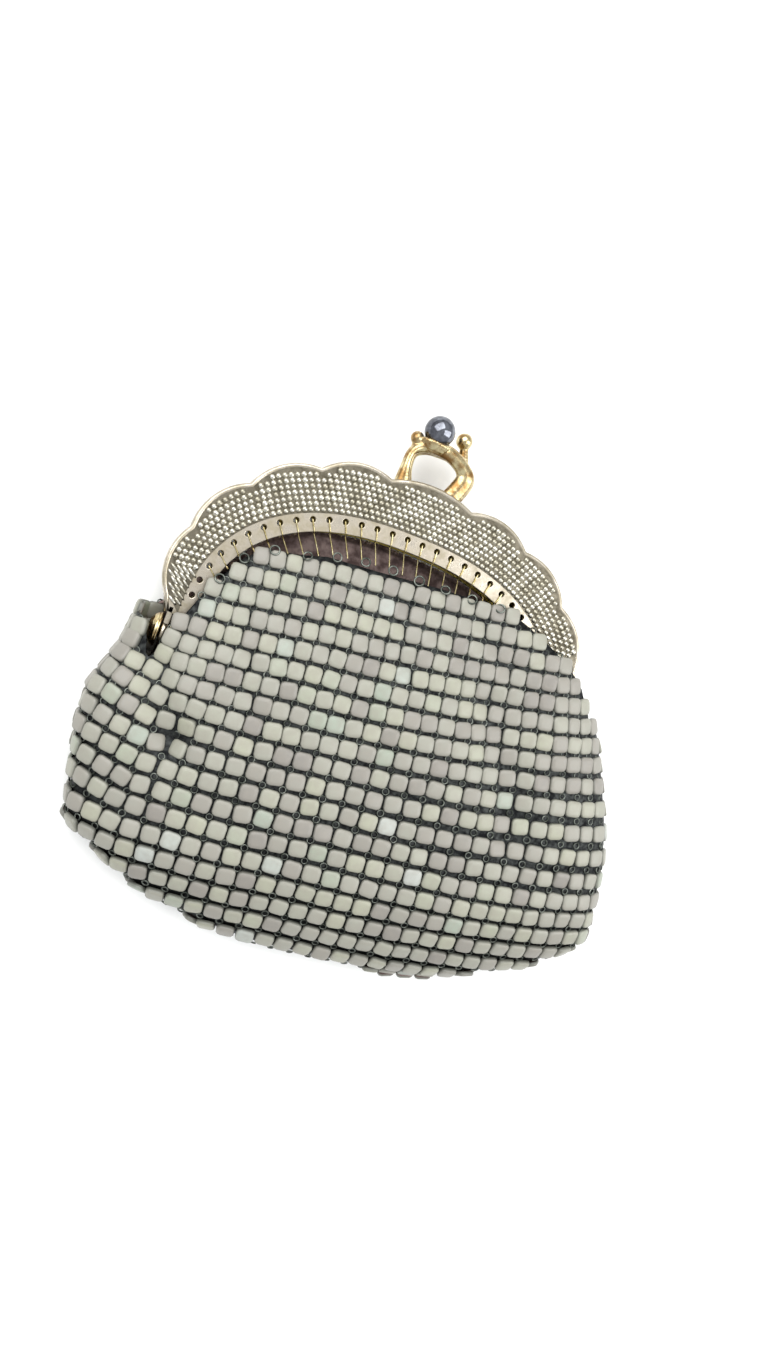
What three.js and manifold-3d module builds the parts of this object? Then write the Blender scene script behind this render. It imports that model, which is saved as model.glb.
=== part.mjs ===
// A small metal mesh purse, closed and lying on its back.
// Millimetres: X runs along the hinge line, +Y points to the clasp and +Z faces up.
// The parts are drawn with the face of the front frame half at z = 0 and the middle of the
// frame's top edge near x = 0, y = 0. The last lines set the whole purse on its resting plane.

import * as THREE from "three";
import { mergeVertices } from "three/addons/utils/BufferGeometryUtils.js";
import Module from "manifold-3d";

const wasm = await Module();
wasm.setup();

// General
const SEAT_GAP = 0.3;

// Frame halves: shallow stamped trays with a scalloped edge
const SHEET = 0.9;
const RIM_DEPTH = 2.65;
const RIM_WALL = 0.9;
const END_WIDTH = 75.2;
const CENTRE_CHORD = 0.213 * END_WIDTH;
const CENTRE_RISE = 1.7;
const LOBE_CHORD = 0.17 * END_WIDTH;
const LOBE_RISE = 2.0;
const LOBE_TURNS = [13, 33.5, 56.3, 88.5];
const LOBE_STEPS = 6;
const FRAME_DROP = 0.479 * END_WIDTH;
const LEG_WIDTH = 5.4;
const CROWN_DEPTH = 11.0;
const SPRING_LINE = 0.5;
const ARCH_WIDTH = END_WIDTH - 2 * LEG_WIDTH;
const ARCH_RISE = FRAME_DROP - SPRING_LINE - CROWN_DEPTH;
const ARCH_SQUARENESS = 2.4;
const ARCH_STEPS = 28;
const BAND = 3.1;
const FIELD_MARGIN = 1.2;
const FIELD_HEIGHT = 0.3;
const HOLE_DIAMETER = 1.3;
const HOLE_PITCH = 2.95;
const HOLE_INSET = 2.0;
const HOLE_END_ROOM = 3.1;
const HOLE_SIDES = 6;

// Hinge: an ear on each half, one inside the other, and a domed rivet through both
const EAR_DROP = 3.5;
const EAR_INSET = 0.6;
const HINGE_DROP = FRAME_DROP + EAR_DROP;
const EAR_FACE = END_WIDTH / 2 - EAR_INSET;
const EAR_THICK = 0.9;
const EAR_RADIUS = 2.35;
const TAB_OVERLAP = 1.2;
const RIVET_SHANK = 1.6;
const RIVET_HEAD = 6.4;
const RIVET_DOME = 2.1;
const RIVET_TAIL = 3.0;
const RIVET_TAIL_THICK = 0.6;
const RIVET_RINGS = 4;
const RIVET_RING_STEP = 0.22;
const RIVET_SIDES = 16;

// Clasp: a cast bow on each half and a ball held in the cup of the front bow
const BOW_WIDTH = 9.9;
const BOW_HEIGHT = 7.9;
const BOW_LEAN = -1.0;
const BOW_RADIUS = 1.0;
const BOW_DEPTH = 2.3;
const BOW_STEPS = 18;
const BOW_SIDES = 8;
const BACK_BOW_SHIFT = 1.0;
const BACK_BOW_RISE = 0.3;
const BALL_DIAMETER = 5.7;
const BALL_OFFSET = -1.65;
const BALL_HEIGHT = 11.25;
const BALL_LIFT = 0.2;
const BALL_SIDES = 18;
const CUP_DIAMETER = 6.0;
const CUP_FOOT_DIAMETER = 4.2;
const CUP_FLATNESS = 0.65;
const CUP_HEIGHT = 2.0;
const CUP_SIDES = 16;
const FRONT_KNOB_DIAMETER = 2.5;
const BACK_KNOB_DIAMETER = 3.1;
const KNOB_SIDES = 12;
const NECK_DIAMETER = 1.6;
const FRONT_KNOB_OFFSET = -5.1;
const FRONT_KNOB_HEIGHT = 8.7;
const FRONT_NECK_PLACE = 0.3;
const BACK_KNOB_OFFSET = 4.0;
const BACK_KNOB_HEIGHT = 12.0;
const BACK_NECK_PLACE = 0.74;

// The line of a bow from its left foot over the top to its right foot. across is a share of half
// BOW_WIDTH, up of BOW_HEIGHT and girth of BOW_RADIUS.
const BOW_STOPS = [
  { across: -0.97, up: -0.05, girth: 1.65 },
  { across: -1.08, up: 0.40, girth: 0.95 },
  { across: -1.05, up: 0.76, girth: 0.85 },
  { across: -0.70, up: 0.98, girth: 1.20 },
  { across: -0.20, up: 1.06, girth: 1.40 },
  { across: 0.38, up: 1.04, girth: 1.35 },
  { across: 0.98, up: 0.84, girth: 1.45 },
  { across: 1.32, up: 0.54, girth: 1.70 },
  { across: 0.77, up: -0.05, girth: 1.75 },
];

// Mesh bag: a soft hollow tube of linked plates, closed at the bottom and open at the frame
const BAG_WALL = 1.5;
const BAG_LENGTH = 74.5;
const BAG_TOP = -17.0;
const RIVET_REACH = EAR_FACE + SEAT_GAP + RIVET_DOME;
const LEFT_SWELL = 6.6;
const RIGHT_SWELL = 23.1;
const LEFT_REACH = RIVET_REACH + LEFT_SWELL;
const RIGHT_REACH = RIVET_REACH + RIGHT_SWELL;
const EDGE_LEVEL = 4.0;
const FRONT_BULGE = 11.0;
const BACK_BULGE = 6.6;
const BACK_REST = 6.0;
const FRONT_SQUARENESS = 3.4;
const BACK_SQUARENESS = 4.0;
const ROW_TILT = 6;
const ROW_SAG = 2.9;
const BAG_COLUMNS = 56;
const BAG_STATIONS = 19;
const FLOOR_WALL = 2.4;
const LIP_SEARCH_END = 0.5;
const LIP_SEARCH_STEPS = 30;

// One row for each section of the bag. down is a share of BAG_LENGTH, left of LEFT_REACH,
// right of RIGHT_REACH, front of FRONT_BULGE and back of BACK_BULGE.
const BAG_SECTIONS = [
  { down: -0.12, left: 0.885, right: 0.685, front: 0.50, back: 0.90 },
  { down: 0.0, left: 0.895, right: 0.692, front: 0.62, back: 0.95 },
  { down: 0.09, left: 0.905, right: 0.698, front: 0.75, back: 1.0 },
  { down: 0.165, left: 0.915, right: 0.704, front: 0.84, back: 1.0 },
  { down: 0.24, left: 0.925, right: 0.742, front: 0.89, back: 1.0 },
  { down: 0.325, left: 0.94, right: 0.797, front: 0.94, back: 1.0 },
  { down: 0.44, left: 1.0, right: 0.862, front: 0.98, back: 1.0 },
  { down: 0.54, left: 0.998, right: 0.914, front: 1.0, back: 1.0 },
  { down: 0.64, left: 0.966, right: 0.954, front: 1.0, back: 1.0 },
  { down: 0.765, left: 0.925, right: 0.978, front: 0.95, back: 1.0 },
  { down: 0.81, left: 0.82, right: 0.989, front: 0.87, back: 1.0 },
  { down: 0.88, left: 0.62, right: 0.995, front: 0.68, back: 0.95 },
  { down: 0.94, left: 0.33, right: 0.88, front: 0.46, back: 0.80 },
  { down: 0.97, left: 0.08, right: 0.76, front: 0.33, back: 0.60 },
  { down: 0.99, left: -0.25, right: 0.65, front: 0.18, back: 0.35 },
  { down: 1.0, left: -0.48, right: 0.55, front: 0.08, back: 0.15 },
];

// The free edges of the mesh in plan, from the left side to the right side. The front one runs
// round below the left rivet and under the frame's band, and the back one behind the rivet and
// up to the back half's band, so that the arch shows the inside of the bag.
// across is a share of half END_WIDTH and drop of HINGE_DROP.
const FRONT_LIP = [
  { across: -1.17, drop: 0.93 },
  { across: -1.09, drop: 0.96 },
  { across: -1.02, drop: 1.12 },
  { across: -0.935, drop: 1.05 },
  { across: -0.91, drop: 0.905 },
  { across: -0.85, drop: 0.757 },
  { across: -0.75, drop: 0.572 },
  { across: -0.672, drop: 0.488 },
  { across: -0.51, drop: 0.46 },
  { across: -0.39, drop: 0.425 },
  { across: -0.13, drop: 0.405 },
  { across: 0.18, drop: 0.374 },
  { across: 0.56, drop: 0.35 },
  { across: 0.68, drop: 0.385 },
  { across: 0.81, drop: 0.43 },
  { across: 0.97, drop: 0.50 },
  { across: 1.06, drop: 0.555 },
  { across: 1.18, drop: 0.71 },
];
const BACK_LIP = [
  { across: -1.17, drop: 0.93 },
  { across: -1.09, drop: 0.91 },
  { across: -1.02, drop: 0.85 },
  { across: -0.85, drop: 0.66 },
  { across: -0.672, drop: 0.44 },
  { across: -0.45, drop: 0.31 },
  { across: -0.10, drop: 0.265 },
  { across: 0.30, drop: 0.28 },
  { across: 0.56, drop: 0.33 },
  { across: 0.81, drop: 0.43 },
  { across: 1.06, drop: 0.555 },
  { across: 1.18, drop: 0.71 },
];

// Folds of the front wall. The across values are shares of half END_WIDTH, the drop values
// of BAG_LENGTH below BAG_TOP, depth of FRONT_BULGE (minus is a swelling), width of LEFT_REACH.
const FOLDS = [
  {
    name: "gusset crease, top", depth: 0.15, width: 0.07,
    across: -0.98, drop: 0.37, toAcross: -0.79, toDrop: 0.53,
  },
  {
    name: "gusset crease, foot", depth: 0.10, width: 0.07,
    across: -0.79, drop: 0.53, toAcross: -0.82, toDrop: 0.72,
  },
  {
    name: "left ripple", depth: 0.05, width: 0.04,
    across: -0.64, drop: 0.19, toAcross: -0.45, toDrop: 0.44,
  },
  {
    name: "middle ripple", depth: 0.05, width: 0.04,
    across: 0.05, drop: 0.05, toAcross: 0.16, toDrop: 0.20,
  },
  {
    name: "right valley", depth: 0.11, width: 0.09,
    across: 0.62, drop: 0.19, toAcross: 0.95, toDrop: 0.49,
  },
  {
    name: "upper crease", depth: 0.07, width: 0.05,
    across: 0.46, drop: 0.03, toAcross: 0.64, toDrop: 0.09,
  },
  {
    name: "right shoulder", depth: -0.10, width: 0.11,
    across: 0.88, drop: 0.05, toAcross: 1.06, toDrop: 0.20,
  },
  {
    name: "left shoulder", depth: 0.11, width: 0.11,
    across: -0.98, drop: 0.33, toAcross: -0.80, toDrop: 0.08,
  },
];

const THICKNESS = 2 * RIM_DEPTH + SEAT_GAP;

function metal(color, roughness) {
  return new THREE.MeshStandardMaterial({ color, roughness, metalness: 1.0 });
}

const champagne = metal(0xb8ab90, 0.35);
const gold = metal(0xc8a452, 0.25);
const silver = metal(0x77787d, 0.12);
const enamel = new THREE.MeshStandardMaterial({ color: 0xc9c8b6, roughness: 0.45, metalness: 0.1 });

// Solids and booleans

function solid(geometry) {
  const bare = geometry.clone();
  bare.deleteAttribute("normal");
  bare.deleteAttribute("uv");
  const merged = mergeVertices(bare, 1e-4);
  return new wasm.Manifold(new wasm.Mesh({
    numProp: 3,
    vertProperties: new Float32Array(merged.attributes.position.array),
    triVerts: new Uint32Array(merged.index.array),
  }));
}

function geometryOf(body) {
  const mesh = body.getMesh();
  const geometry = new THREE.BufferGeometry();
  geometry.setAttribute("position", new THREE.BufferAttribute(mesh.vertProperties, 3));
  geometry.setIndex(new THREE.BufferAttribute(mesh.triVerts, 1));
  geometry.computeVertexNormals();
  return geometry;
}

function named(name, geometry, material) {
  const mesh = new THREE.Mesh(geometry, material);
  mesh.name = name;
  return mesh;
}

function slab(points, bottom, top) {
  const geometry = new THREE.ExtrudeGeometry(new THREE.Shape(points), {
    depth: top - bottom,
    bevelEnabled: false,
  });
  geometry.translate(0, 0, bottom);
  return solid(geometry);
}

function ball(diameter, x, y, z) {
  const geometry = new THREE.SphereGeometry(diameter / 2, KNOB_SIDES, KNOB_SIDES - 4);
  geometry.translate(x, y, z);
  return solid(geometry);
}

// A round bar along X from x0 to x1
function crossBar(diameter, x0, x1, y, z, sides) {
  const geometry = new THREE.CylinderGeometry(diameter / 2, diameter / 2, x1 - x0, sides);
  geometry.rotateZ(Math.PI / 2);
  geometry.translate((x0 + x1) / 2, y, z);
  return solid(geometry);
}

function block(x0, x1, y0, y1, z0, z1) {
  const geometry = new THREE.BoxGeometry(x1 - x0, y1 - y0, z1 - z0);
  geometry.translate((x0 + x1) / 2, (y0 + y1) / 2, (z0 + z1) / 2);
  return solid(geometry);
}

// Outlines of the frame

// Cusps of the right side, from the middle lobe down to the hinge
function rightCusps() {
  const cusps = [new THREE.Vector2(CENTRE_CHORD / 2, 0)];
  for (const turn of LOBE_TURNS) {
    const angle = THREE.MathUtils.degToRad(-turn);
    const last = cusps[cusps.length - 1];
    cusps.push(new THREE.Vector2(
      last.x + LOBE_CHORD * Math.cos(angle),
      last.y + LOBE_CHORD * Math.sin(angle),
    ));
  }
  return cusps;
}

// Points of one lobe's arc from a to b, bulging to the left of that direction, without b
function lobe(a, b, rise) {
  const chord = a.distanceTo(b);
  const radius = (chord * chord / 4 + rise * rise) / (2 * rise);
  const half = Math.asin(chord / 2 / radius);
  const along = b.clone().sub(a).divideScalar(chord);
  const out = new THREE.Vector2(-along.y, along.x);
  const centre = a.clone().lerp(b, 0.5).addScaledVector(out, rise - radius);
  const points = [];
  for (let i = 0; i < LOBE_STEPS; i += 1) {
    const angle = -half + 2 * half * i / LOBE_STEPS;
    points.push(centre.clone()
      .addScaledVector(along, radius * Math.sin(angle))
      .addScaledVector(out, radius * Math.cos(angle)));
  }
  return points;
}

// The scalloped edge from the left end over the top to the right end
function scallopEdge() {
  const right = rightCusps();
  const left = right.map((p) => new THREE.Vector2(-p.x, p.y)).reverse();
  const cusps = [...left, ...right];
  const middle = left.length - 1;
  const points = [new THREE.Vector2(-END_WIDTH / 2, -FRAME_DROP)];
  for (let i = 0; i + 1 < cusps.length; i += 1) {
    points.push(...lobe(cusps[i], cusps[i + 1], i === middle ? CENTRE_RISE : LOBE_RISE));
  }
  points.push(cusps[cusps.length - 1]);
  points.push(new THREE.Vector2(END_WIDTH / 2, -FRAME_DROP));
  return points;
}

// The same line moved by a distance to its right, which is the inside of the frame
function inset(points, distance) {
  return points.map((p, i) => {
    const before = points[Math.max(i - 1, 0)];
    const after = points[Math.min(i + 1, points.length - 1)];
    const along = after.clone().sub(before).normalize();
    return new THREE.Vector2(p.x + along.y * distance, p.y - along.x * distance);
  });
}

// The arch below the band, moved outwards by a margin, from the right to the left
function archEdge(margin) {
  const points = [];
  for (let i = 0; i <= ARCH_STEPS; i += 1) {
    const angle = Math.PI * i / ARCH_STEPS;
    const power = 2 / ARCH_SQUARENESS;
    const across = Math.sign(Math.cos(angle)) * Math.abs(Math.cos(angle)) ** power;
    const up = Math.sin(angle) ** power;
    points.push(new THREE.Vector2(
      (ARCH_WIDTH / 2 + margin) * across,
      SPRING_LINE - FRAME_DROP + (ARCH_RISE + margin) * up,
    ));
  }
  return points;
}

// Centres of the sewing holes, one pitch apart and centred on the band
function holeCentres() {
  const line = archEdge(HOLE_INSET);
  const curve = new THREE.CatmullRomCurve3(line.map((p) => new THREE.Vector3(p.x, p.y, 0)));
  const length = curve.getLength();
  const count = Math.floor((length - 2 * HOLE_END_ROOM) / HOLE_PITCH);
  const centres = [];
  for (let i = 0; i <= count; i += 1) {
    const share = 0.5 + (i - count / 2) * HOLE_PITCH / length;
    centres.push(curve.getPointAt(share));
  }
  return centres;
}

// One frame half, face up at z = 0, with its ears at earFace from the middle
function frameHalf(earFace) {
  const edge = scallopEdge();
  const plate = slab([...edge, new THREE.Vector2(ARCH_WIDTH / 2, -FRAME_DROP), ...archEdge(0),
    new THREE.Vector2(-ARCH_WIDTH / 2, -FRAME_DROP)], -SHEET, 0);
  const outer = slab(edge, -RIM_DEPTH, 0);
  const insideEdge = inset(edge, RIM_WALL);
  const below = -FRAME_DROP - RIM_WALL;
  const inner = slab([new THREE.Vector2(insideEdge[0].x, below), ...insideEdge,
    new THREE.Vector2(insideEdge[insideEdge.length - 1].x, below)], -2 * RIM_DEPTH, RIM_DEPTH);
  const fieldEdge = inset(edge, FIELD_MARGIN).slice(1, -1);
  const field = slab([...fieldEdge, ...archEdge(BAND)], -SHEET / 2, FIELD_HEIGHT);
  let half = outer.subtract(inner).add(plate).add(field);
  for (const centre of holeCentres()) {
    const hole = new THREE.CylinderGeometry(
      HOLE_DIAMETER / 2, HOLE_DIAMETER / 2, 4 * SHEET, HOLE_SIDES);
    hole.rotateX(Math.PI / 2);
    hole.translate(centre.x, centre.y, -SHEET / 2);
    half = half.subtract(solid(hole));
  }
  const pinLevel = -THICKNESS / 2;
  for (const side of [-1, 1]) {
    const x0 = side > 0 ? earFace - EAR_THICK : -earFace;
    const x1 = x0 + EAR_THICK;
    half = half
      .add(block(x0, x1, -HINGE_DROP, -FRAME_DROP + TAB_OVERLAP, -SHEET, 0))
      .add(crossBar(2 * EAR_RADIUS, x0, x1, -HINGE_DROP, pinLevel, RIVET_SIDES))
      .subtract(crossBar(RIVET_SHANK + 2 * SEAT_GAP, x0 - SHEET, x1 + SHEET,
        -HINGE_DROP, pinLevel, RIVET_SIDES));
  }
  return geometryOf(half);
}

// The hinge rivet: ringed dome outside, shank through both ears and a flat tail inside
function hingeRivet() {
  const inside = EAR_FACE - 2 * EAR_THICK - 3 * SEAT_GAP;
  const seat = EAR_FACE + SEAT_GAP;
  const profile = [
    new THREE.Vector2(0, inside - RIVET_TAIL_THICK),
    new THREE.Vector2(RIVET_TAIL / 2, inside - RIVET_TAIL_THICK),
    new THREE.Vector2(RIVET_TAIL / 2, inside),
    new THREE.Vector2(RIVET_SHANK / 2, inside),
    new THREE.Vector2(RIVET_SHANK / 2, seat),
    new THREE.Vector2(RIVET_HEAD / 2, seat),
  ];
  for (let ring = 0; ring < RIVET_RINGS; ring += 1) {
    const share = (ring + 0.5) / RIVET_RINGS;
    const next = (ring + 1) / RIVET_RINGS;
    const level = seat + RIVET_DOME * share;
    const radius = RIVET_HEAD / 2 * Math.sqrt(1 - share * share);
    profile.push(new THREE.Vector2(radius, level));
    if (ring + 1 < RIVET_RINGS) {
      const groove = RIVET_HEAD / 2 * Math.sqrt(1 - next * next) - RIVET_RING_STEP;
      profile.push(new THREE.Vector2(groove, seat + RIVET_DOME * next));
    }
  }
  profile.push(new THREE.Vector2(0, seat + RIVET_DOME));
  const geometry = new THREE.LatheGeometry(profile, RIVET_SIDES);
  geometry.rotateZ(-Math.PI / 2);
  return geometryOf(solid(geometry));
}

function bowLine(shift, rise, level) {
  return new THREE.CatmullRomCurve3(BOW_STOPS.map((stop) => new THREE.Vector3(
    BOW_LEAN + shift + BOW_WIDTH / 2 * stop.across,
    rise + BOW_HEIGHT * stop.up,
    level,
  )));
}

// The bar of a bow: oval in section, as thick as BOW_DEPTH and as wide as the girths say
function bowBody(line) {
  const girths = new THREE.SplineCurve(
    BOW_STOPS.map((stop, i) => new THREE.Vector2(i, stop.girth)));
  const positions = [];
  const indices = [];
  const at = (i, j) => i * BOW_SIDES + (j % BOW_SIDES);
  for (let i = 0; i <= BOW_STEPS; i += 1) {
    const place = i / BOW_STEPS;
    const centre = line.getPoint(place);
    const along = line.getTangent(place);
    const wide = BOW_RADIUS * girths.getPoint(place).y;
    for (let j = 0; j < BOW_SIDES; j += 1) {
      const angle = 2 * Math.PI * j / BOW_SIDES;
      positions.push(
        centre.x + along.y * wide * Math.cos(angle),
        centre.y - along.x * wide * Math.cos(angle),
        centre.z + BOW_DEPTH / 2 * Math.sin(angle),
      );
      if (i === BOW_STEPS) continue;
      indices.push(at(i, j), at(i + 1, j + 1), at(i, j + 1));
      indices.push(at(i, j), at(i + 1, j), at(i + 1, j + 1));
    }
  }
  for (let j = 1; j + 1 < BOW_SIDES; j += 1) {
    indices.push(at(0, 0), at(0, j), at(0, j + 1));
    indices.push(at(BOW_STEPS, 0), at(BOW_STEPS, j + 1), at(BOW_STEPS, j));
  }
  const geometry = new THREE.BufferGeometry();
  geometry.setAttribute("position", new THREE.Float32BufferAttribute(positions, 3));
  geometry.setIndex(indices);
  return solid(geometry);
}

// A neck from a place along a bow's line to the middle of its knob
function knobNeck(line, place, knob) {
  const foot = line.getPoint(place);
  const along = knob.clone().sub(foot);
  const geometry = new THREE.CylinderGeometry(
    NECK_DIAMETER / 2, BOW_RADIUS, along.length(), BOW_SIDES);
  geometry.applyQuaternion(new THREE.Quaternion().setFromUnitVectors(
    new THREE.Vector3(0, 1, 0), along.clone().normalize()));
  geometry.translate(...foot.add(knob).multiplyScalar(0.5).toArray());
  return solid(geometry);
}

// What a bow leaves free for the frame's edge
function frameClearance() {
  const edge = inset(scallopEdge(), -SEAT_GAP);
  return slab(edge, -2 * THICKNESS, THICKNESS);
}

function frontBow() {
  const level = -RIM_DEPTH / 2;
  const x = BOW_LEAN + BALL_OFFSET;
  const cup = new THREE.CylinderGeometry(
    CUP_DIAMETER / 2, CUP_FOOT_DIAMETER / 2, CUP_HEIGHT, CUP_SIDES);
  cup.scale(1, 1, CUP_FLATNESS);
  cup.translate(x, BALL_HEIGHT - BALL_DIAMETER / 2, level + BALL_LIFT);
  const line = bowLine(0, 0, level);
  const knob = new THREE.Vector3(BOW_LEAN + FRONT_KNOB_OFFSET, FRONT_KNOB_HEIGHT, level);
  const body = bowBody(line)
    .add(solid(cup))
    .add(knobNeck(line, FRONT_NECK_PLACE, knob))
    .add(ball(FRONT_KNOB_DIAMETER, ...knob.toArray()))
    .subtract(ball(BALL_DIAMETER + 2 * SEAT_GAP, x, BALL_HEIGHT, level + BALL_LIFT))
    .subtract(frameClearance());
  return geometryOf(body);
}

function backBow() {
  const level = -THICKNESS + RIM_DEPTH / 2;
  const line = bowLine(BACK_BOW_SHIFT, BACK_BOW_RISE, level);
  const knob = new THREE.Vector3(BOW_LEAN + BACK_KNOB_OFFSET, BACK_KNOB_HEIGHT, level);
  const body = bowBody(line)
    .add(knobNeck(line, BACK_NECK_PLACE, knob))
    .add(ball(BACK_KNOB_DIAMETER, ...knob.toArray()))
    .subtract(frameClearance());
  return geometryOf(body);
}

// The mesh bag

// A table's values at a place between its rows, where key holds the place
function between(table, key, place) {
  let i = 0;
  while (i < table.length - 2 && table[i + 1][key] < place) i += 1;
  const a = table[i];
  const b = table[i + 1];
  const share = THREE.MathUtils.clamp((place - a[key]) / (b[key] - a[key]), 0, 1);
  const values = {};
  for (const column of Object.keys(a)) {
    values[column] = a[column] + (b[column] - a[column]) * share;
  }
  return values;
}

// Height of a free edge of the mesh at x
function lipY(lip, x) {
  return -HINGE_DROP * between(lip, "across", x / (END_WIDTH / 2)).drop;
}

function foldDepth(x, y) {
  const here = new THREE.Vector3(x, y, 0);
  const nearest = new THREE.Vector3();
  let depth = 0;
  for (const fold of FOLDS) {
    const line = new THREE.Line3(
      new THREE.Vector3(fold.across * END_WIDTH / 2, BAG_TOP - fold.drop * BAG_LENGTH, 0),
      new THREE.Vector3(fold.toAcross * END_WIDTH / 2, BAG_TOP - fold.toDrop * BAG_LENGTH, 0),
    );
    line.closestPointToPoint(here, true, nearest);
    const off = nearest.distanceTo(here) / (fold.width * LEFT_REACH);
    depth += fold.depth * FRONT_BULGE * Math.exp(-off * off);
  }
  return depth;
}

// A point of the bag's wall. turn runs once round from the left edge over the front to the
// right edge and back below, down from the frame to the bottom, and skin is the distance inside
// the outer face.
function wallPoint(turn, down, skin) {
  const section = between(BAG_SECTIONS, "down", down + skin / BAG_LENGTH);
  const left = -LEFT_REACH * section.left + skin;
  const right = RIGHT_REACH * section.right - skin;
  const angle = 2 * Math.PI * turn;
  const front = Math.sin(angle) >= 0;
  const squareness = front ? FRONT_SQUARENESS : BACK_SQUARENESS;
  const across = -Math.cos(angle);
  const swell = (1 - Math.abs(across) ** squareness) ** (1 / squareness);
  const x = (left + right) / 2 + across * (right - left) / 2;
  const y = BAG_TOP - BAG_LENGTH * down + x * Math.tan(THREE.MathUtils.degToRad(ROW_TILT))
    + ROW_SAG * (x / LEFT_REACH) ** 2;
  if (front) {
    const bulge = Math.max(FRONT_BULGE * section.front - skin, 0);
    return new THREE.Vector3(x, y, -EDGE_LEVEL + swell * (bulge - foldDepth(x, y)));
  }
  const bulge = Math.min(Math.max(BACK_BULGE * section.back, 0) * swell, BACK_REST) - skin * swell;
  return new THREE.Vector3(x, y, -EDGE_LEVEL - Math.max(bulge, 0));
}

// Where the wall starts at a turn: the place that meets the free edge
function wallTop(turn) {
  const lip = turn < 0.5 ? FRONT_LIP : BACK_LIP;
  let high = BAG_SECTIONS[0].down;
  let low = LIP_SEARCH_END;
  for (let i = 0; i < LIP_SEARCH_STEPS; i += 1) {
    const middle = (high + low) / 2;
    const point = wallPoint(turn, middle, 0);
    if (point.y > lipY(lip, point.x)) high = middle;
    else low = middle;
  }
  return low;
}

function meshBag() {
  const positions = [];
  const indices = [];
  const bottoms = [1, 1 - FLOOR_WALL / BAG_LENGTH];
  const skins = [0, BAG_WALL];
  skins.forEach((skin, layer) => {
    for (let i = 0; i <= BAG_STATIONS; i += 1) {
      for (let j = 0; j < BAG_COLUMNS; j += 1) {
        const turn = j / BAG_COLUMNS;
        const top = wallTop(turn);
        const down = top + (bottoms[layer] - top) * i / BAG_STATIONS;
        positions.push(...wallPoint(turn, down, skin).toArray());
      }
    }
  });
  const count = (BAG_STATIONS + 1) * BAG_COLUMNS;
  const at = (layer, i, j) => layer * count + i * BAG_COLUMNS + (j % BAG_COLUMNS);
  const quad = (a, b, c, d) => indices.push(a, b, c, a, c, d);
  for (let j = 0; j < BAG_COLUMNS; j += 1) {
    for (let i = 0; i < BAG_STATIONS; i += 1) {
      quad(at(0, i, j), at(0, i + 1, j), at(0, i + 1, j + 1), at(0, i, j + 1));
      quad(at(1, i, j), at(1, i, j + 1), at(1, i + 1, j + 1), at(1, i + 1, j));
    }
    quad(at(0, 0, j), at(0, 0, j + 1), at(1, 0, j + 1), at(1, 0, j));
  }
  const last = BAG_STATIONS;
  const half = BAG_COLUMNS / 2;
  for (let j = 0; j < half; j += 1) {
    const a = BAG_COLUMNS - j;
    const b = a - 1;
    if (j === 0) {
      indices.push(at(0, last, 0), at(0, last, b), at(0, last, 1));
      indices.push(at(1, last, 0), at(1, last, 1), at(1, last, b));
    } else if (j === half - 1) {
      indices.push(at(0, last, j), at(0, last, a), at(0, last, j + 1));
      indices.push(at(1, last, j), at(1, last, j + 1), at(1, last, a));
    } else {
      quad(at(0, last, j), at(0, last, a), at(0, last, b), at(0, last, j + 1));
      quad(at(1, last, j), at(1, last, j + 1), at(1, last, b), at(1, last, a));
    }
  }
  const geometry = new THREE.BufferGeometry();
  geometry.setAttribute("position", new THREE.Float32BufferAttribute(positions, 3));
  geometry.setIndex(indices);
  return geometryOf(solid(geometry));
}

// Assembly

const purse = new THREE.Group();

purse.add(named("front_frame", frameHalf(EAR_FACE), champagne));

const backFrame = named("back_frame", frameHalf(EAR_FACE - EAR_THICK - SEAT_GAP), champagne);
backFrame.rotation.y = Math.PI;
backFrame.position.z = -THICKNESS;
purse.add(backFrame);

for (const [name, turn] of [["right_hinge_rivet", 0], ["left_hinge_rivet", Math.PI]]) {
  const rivet = named(name, hingeRivet(), gold);
  rivet.rotation.y = turn;
  rivet.position.set(0, -HINGE_DROP, -THICKNESS / 2);
  purse.add(rivet);
}

purse.add(named("front_clasp_bow", frontBow(), gold));
purse.add(named("back_clasp_bow", backBow(), gold));

const sphere = new THREE.SphereGeometry(BALL_DIAMETER / 2, BALL_SIDES, BALL_SIDES - 6);
const claspBall = named("clasp_ball", sphere, silver);
claspBall.position.set(BOW_LEAN + BALL_OFFSET, BALL_HEIGHT, -RIM_DEPTH / 2 + BALL_LIFT);
purse.add(claspBall);

purse.add(named("mesh_bag", meshBag(), enamel));

// The origin is the middle of the purse's box, on the plane that it rests on.
const box = new THREE.Box3().setFromObject(purse, true);
const centre = box.getCenter(new THREE.Vector3());
purse.position.set(-centre.x, -centre.y, -box.min.z);

export default purse;
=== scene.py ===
# %% [markdown]
# # A small metal mesh purse
#
# The purse lies closed on its back. Two stamped frame halves hold a bag of linked enamelled
# plates, and a cast clasp with a dark ball keeps the halves shut. This script dresses the
# measured solids of the purse: it loads them as a fixed frame, and then makes each visible
# surface again with the detail of the real one, in the same place and at the same size.

# %% Load the measured purse
import math
import random

import bmesh
import bpy
import numpy as np
from mathutils import Matrix, Vector


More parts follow.
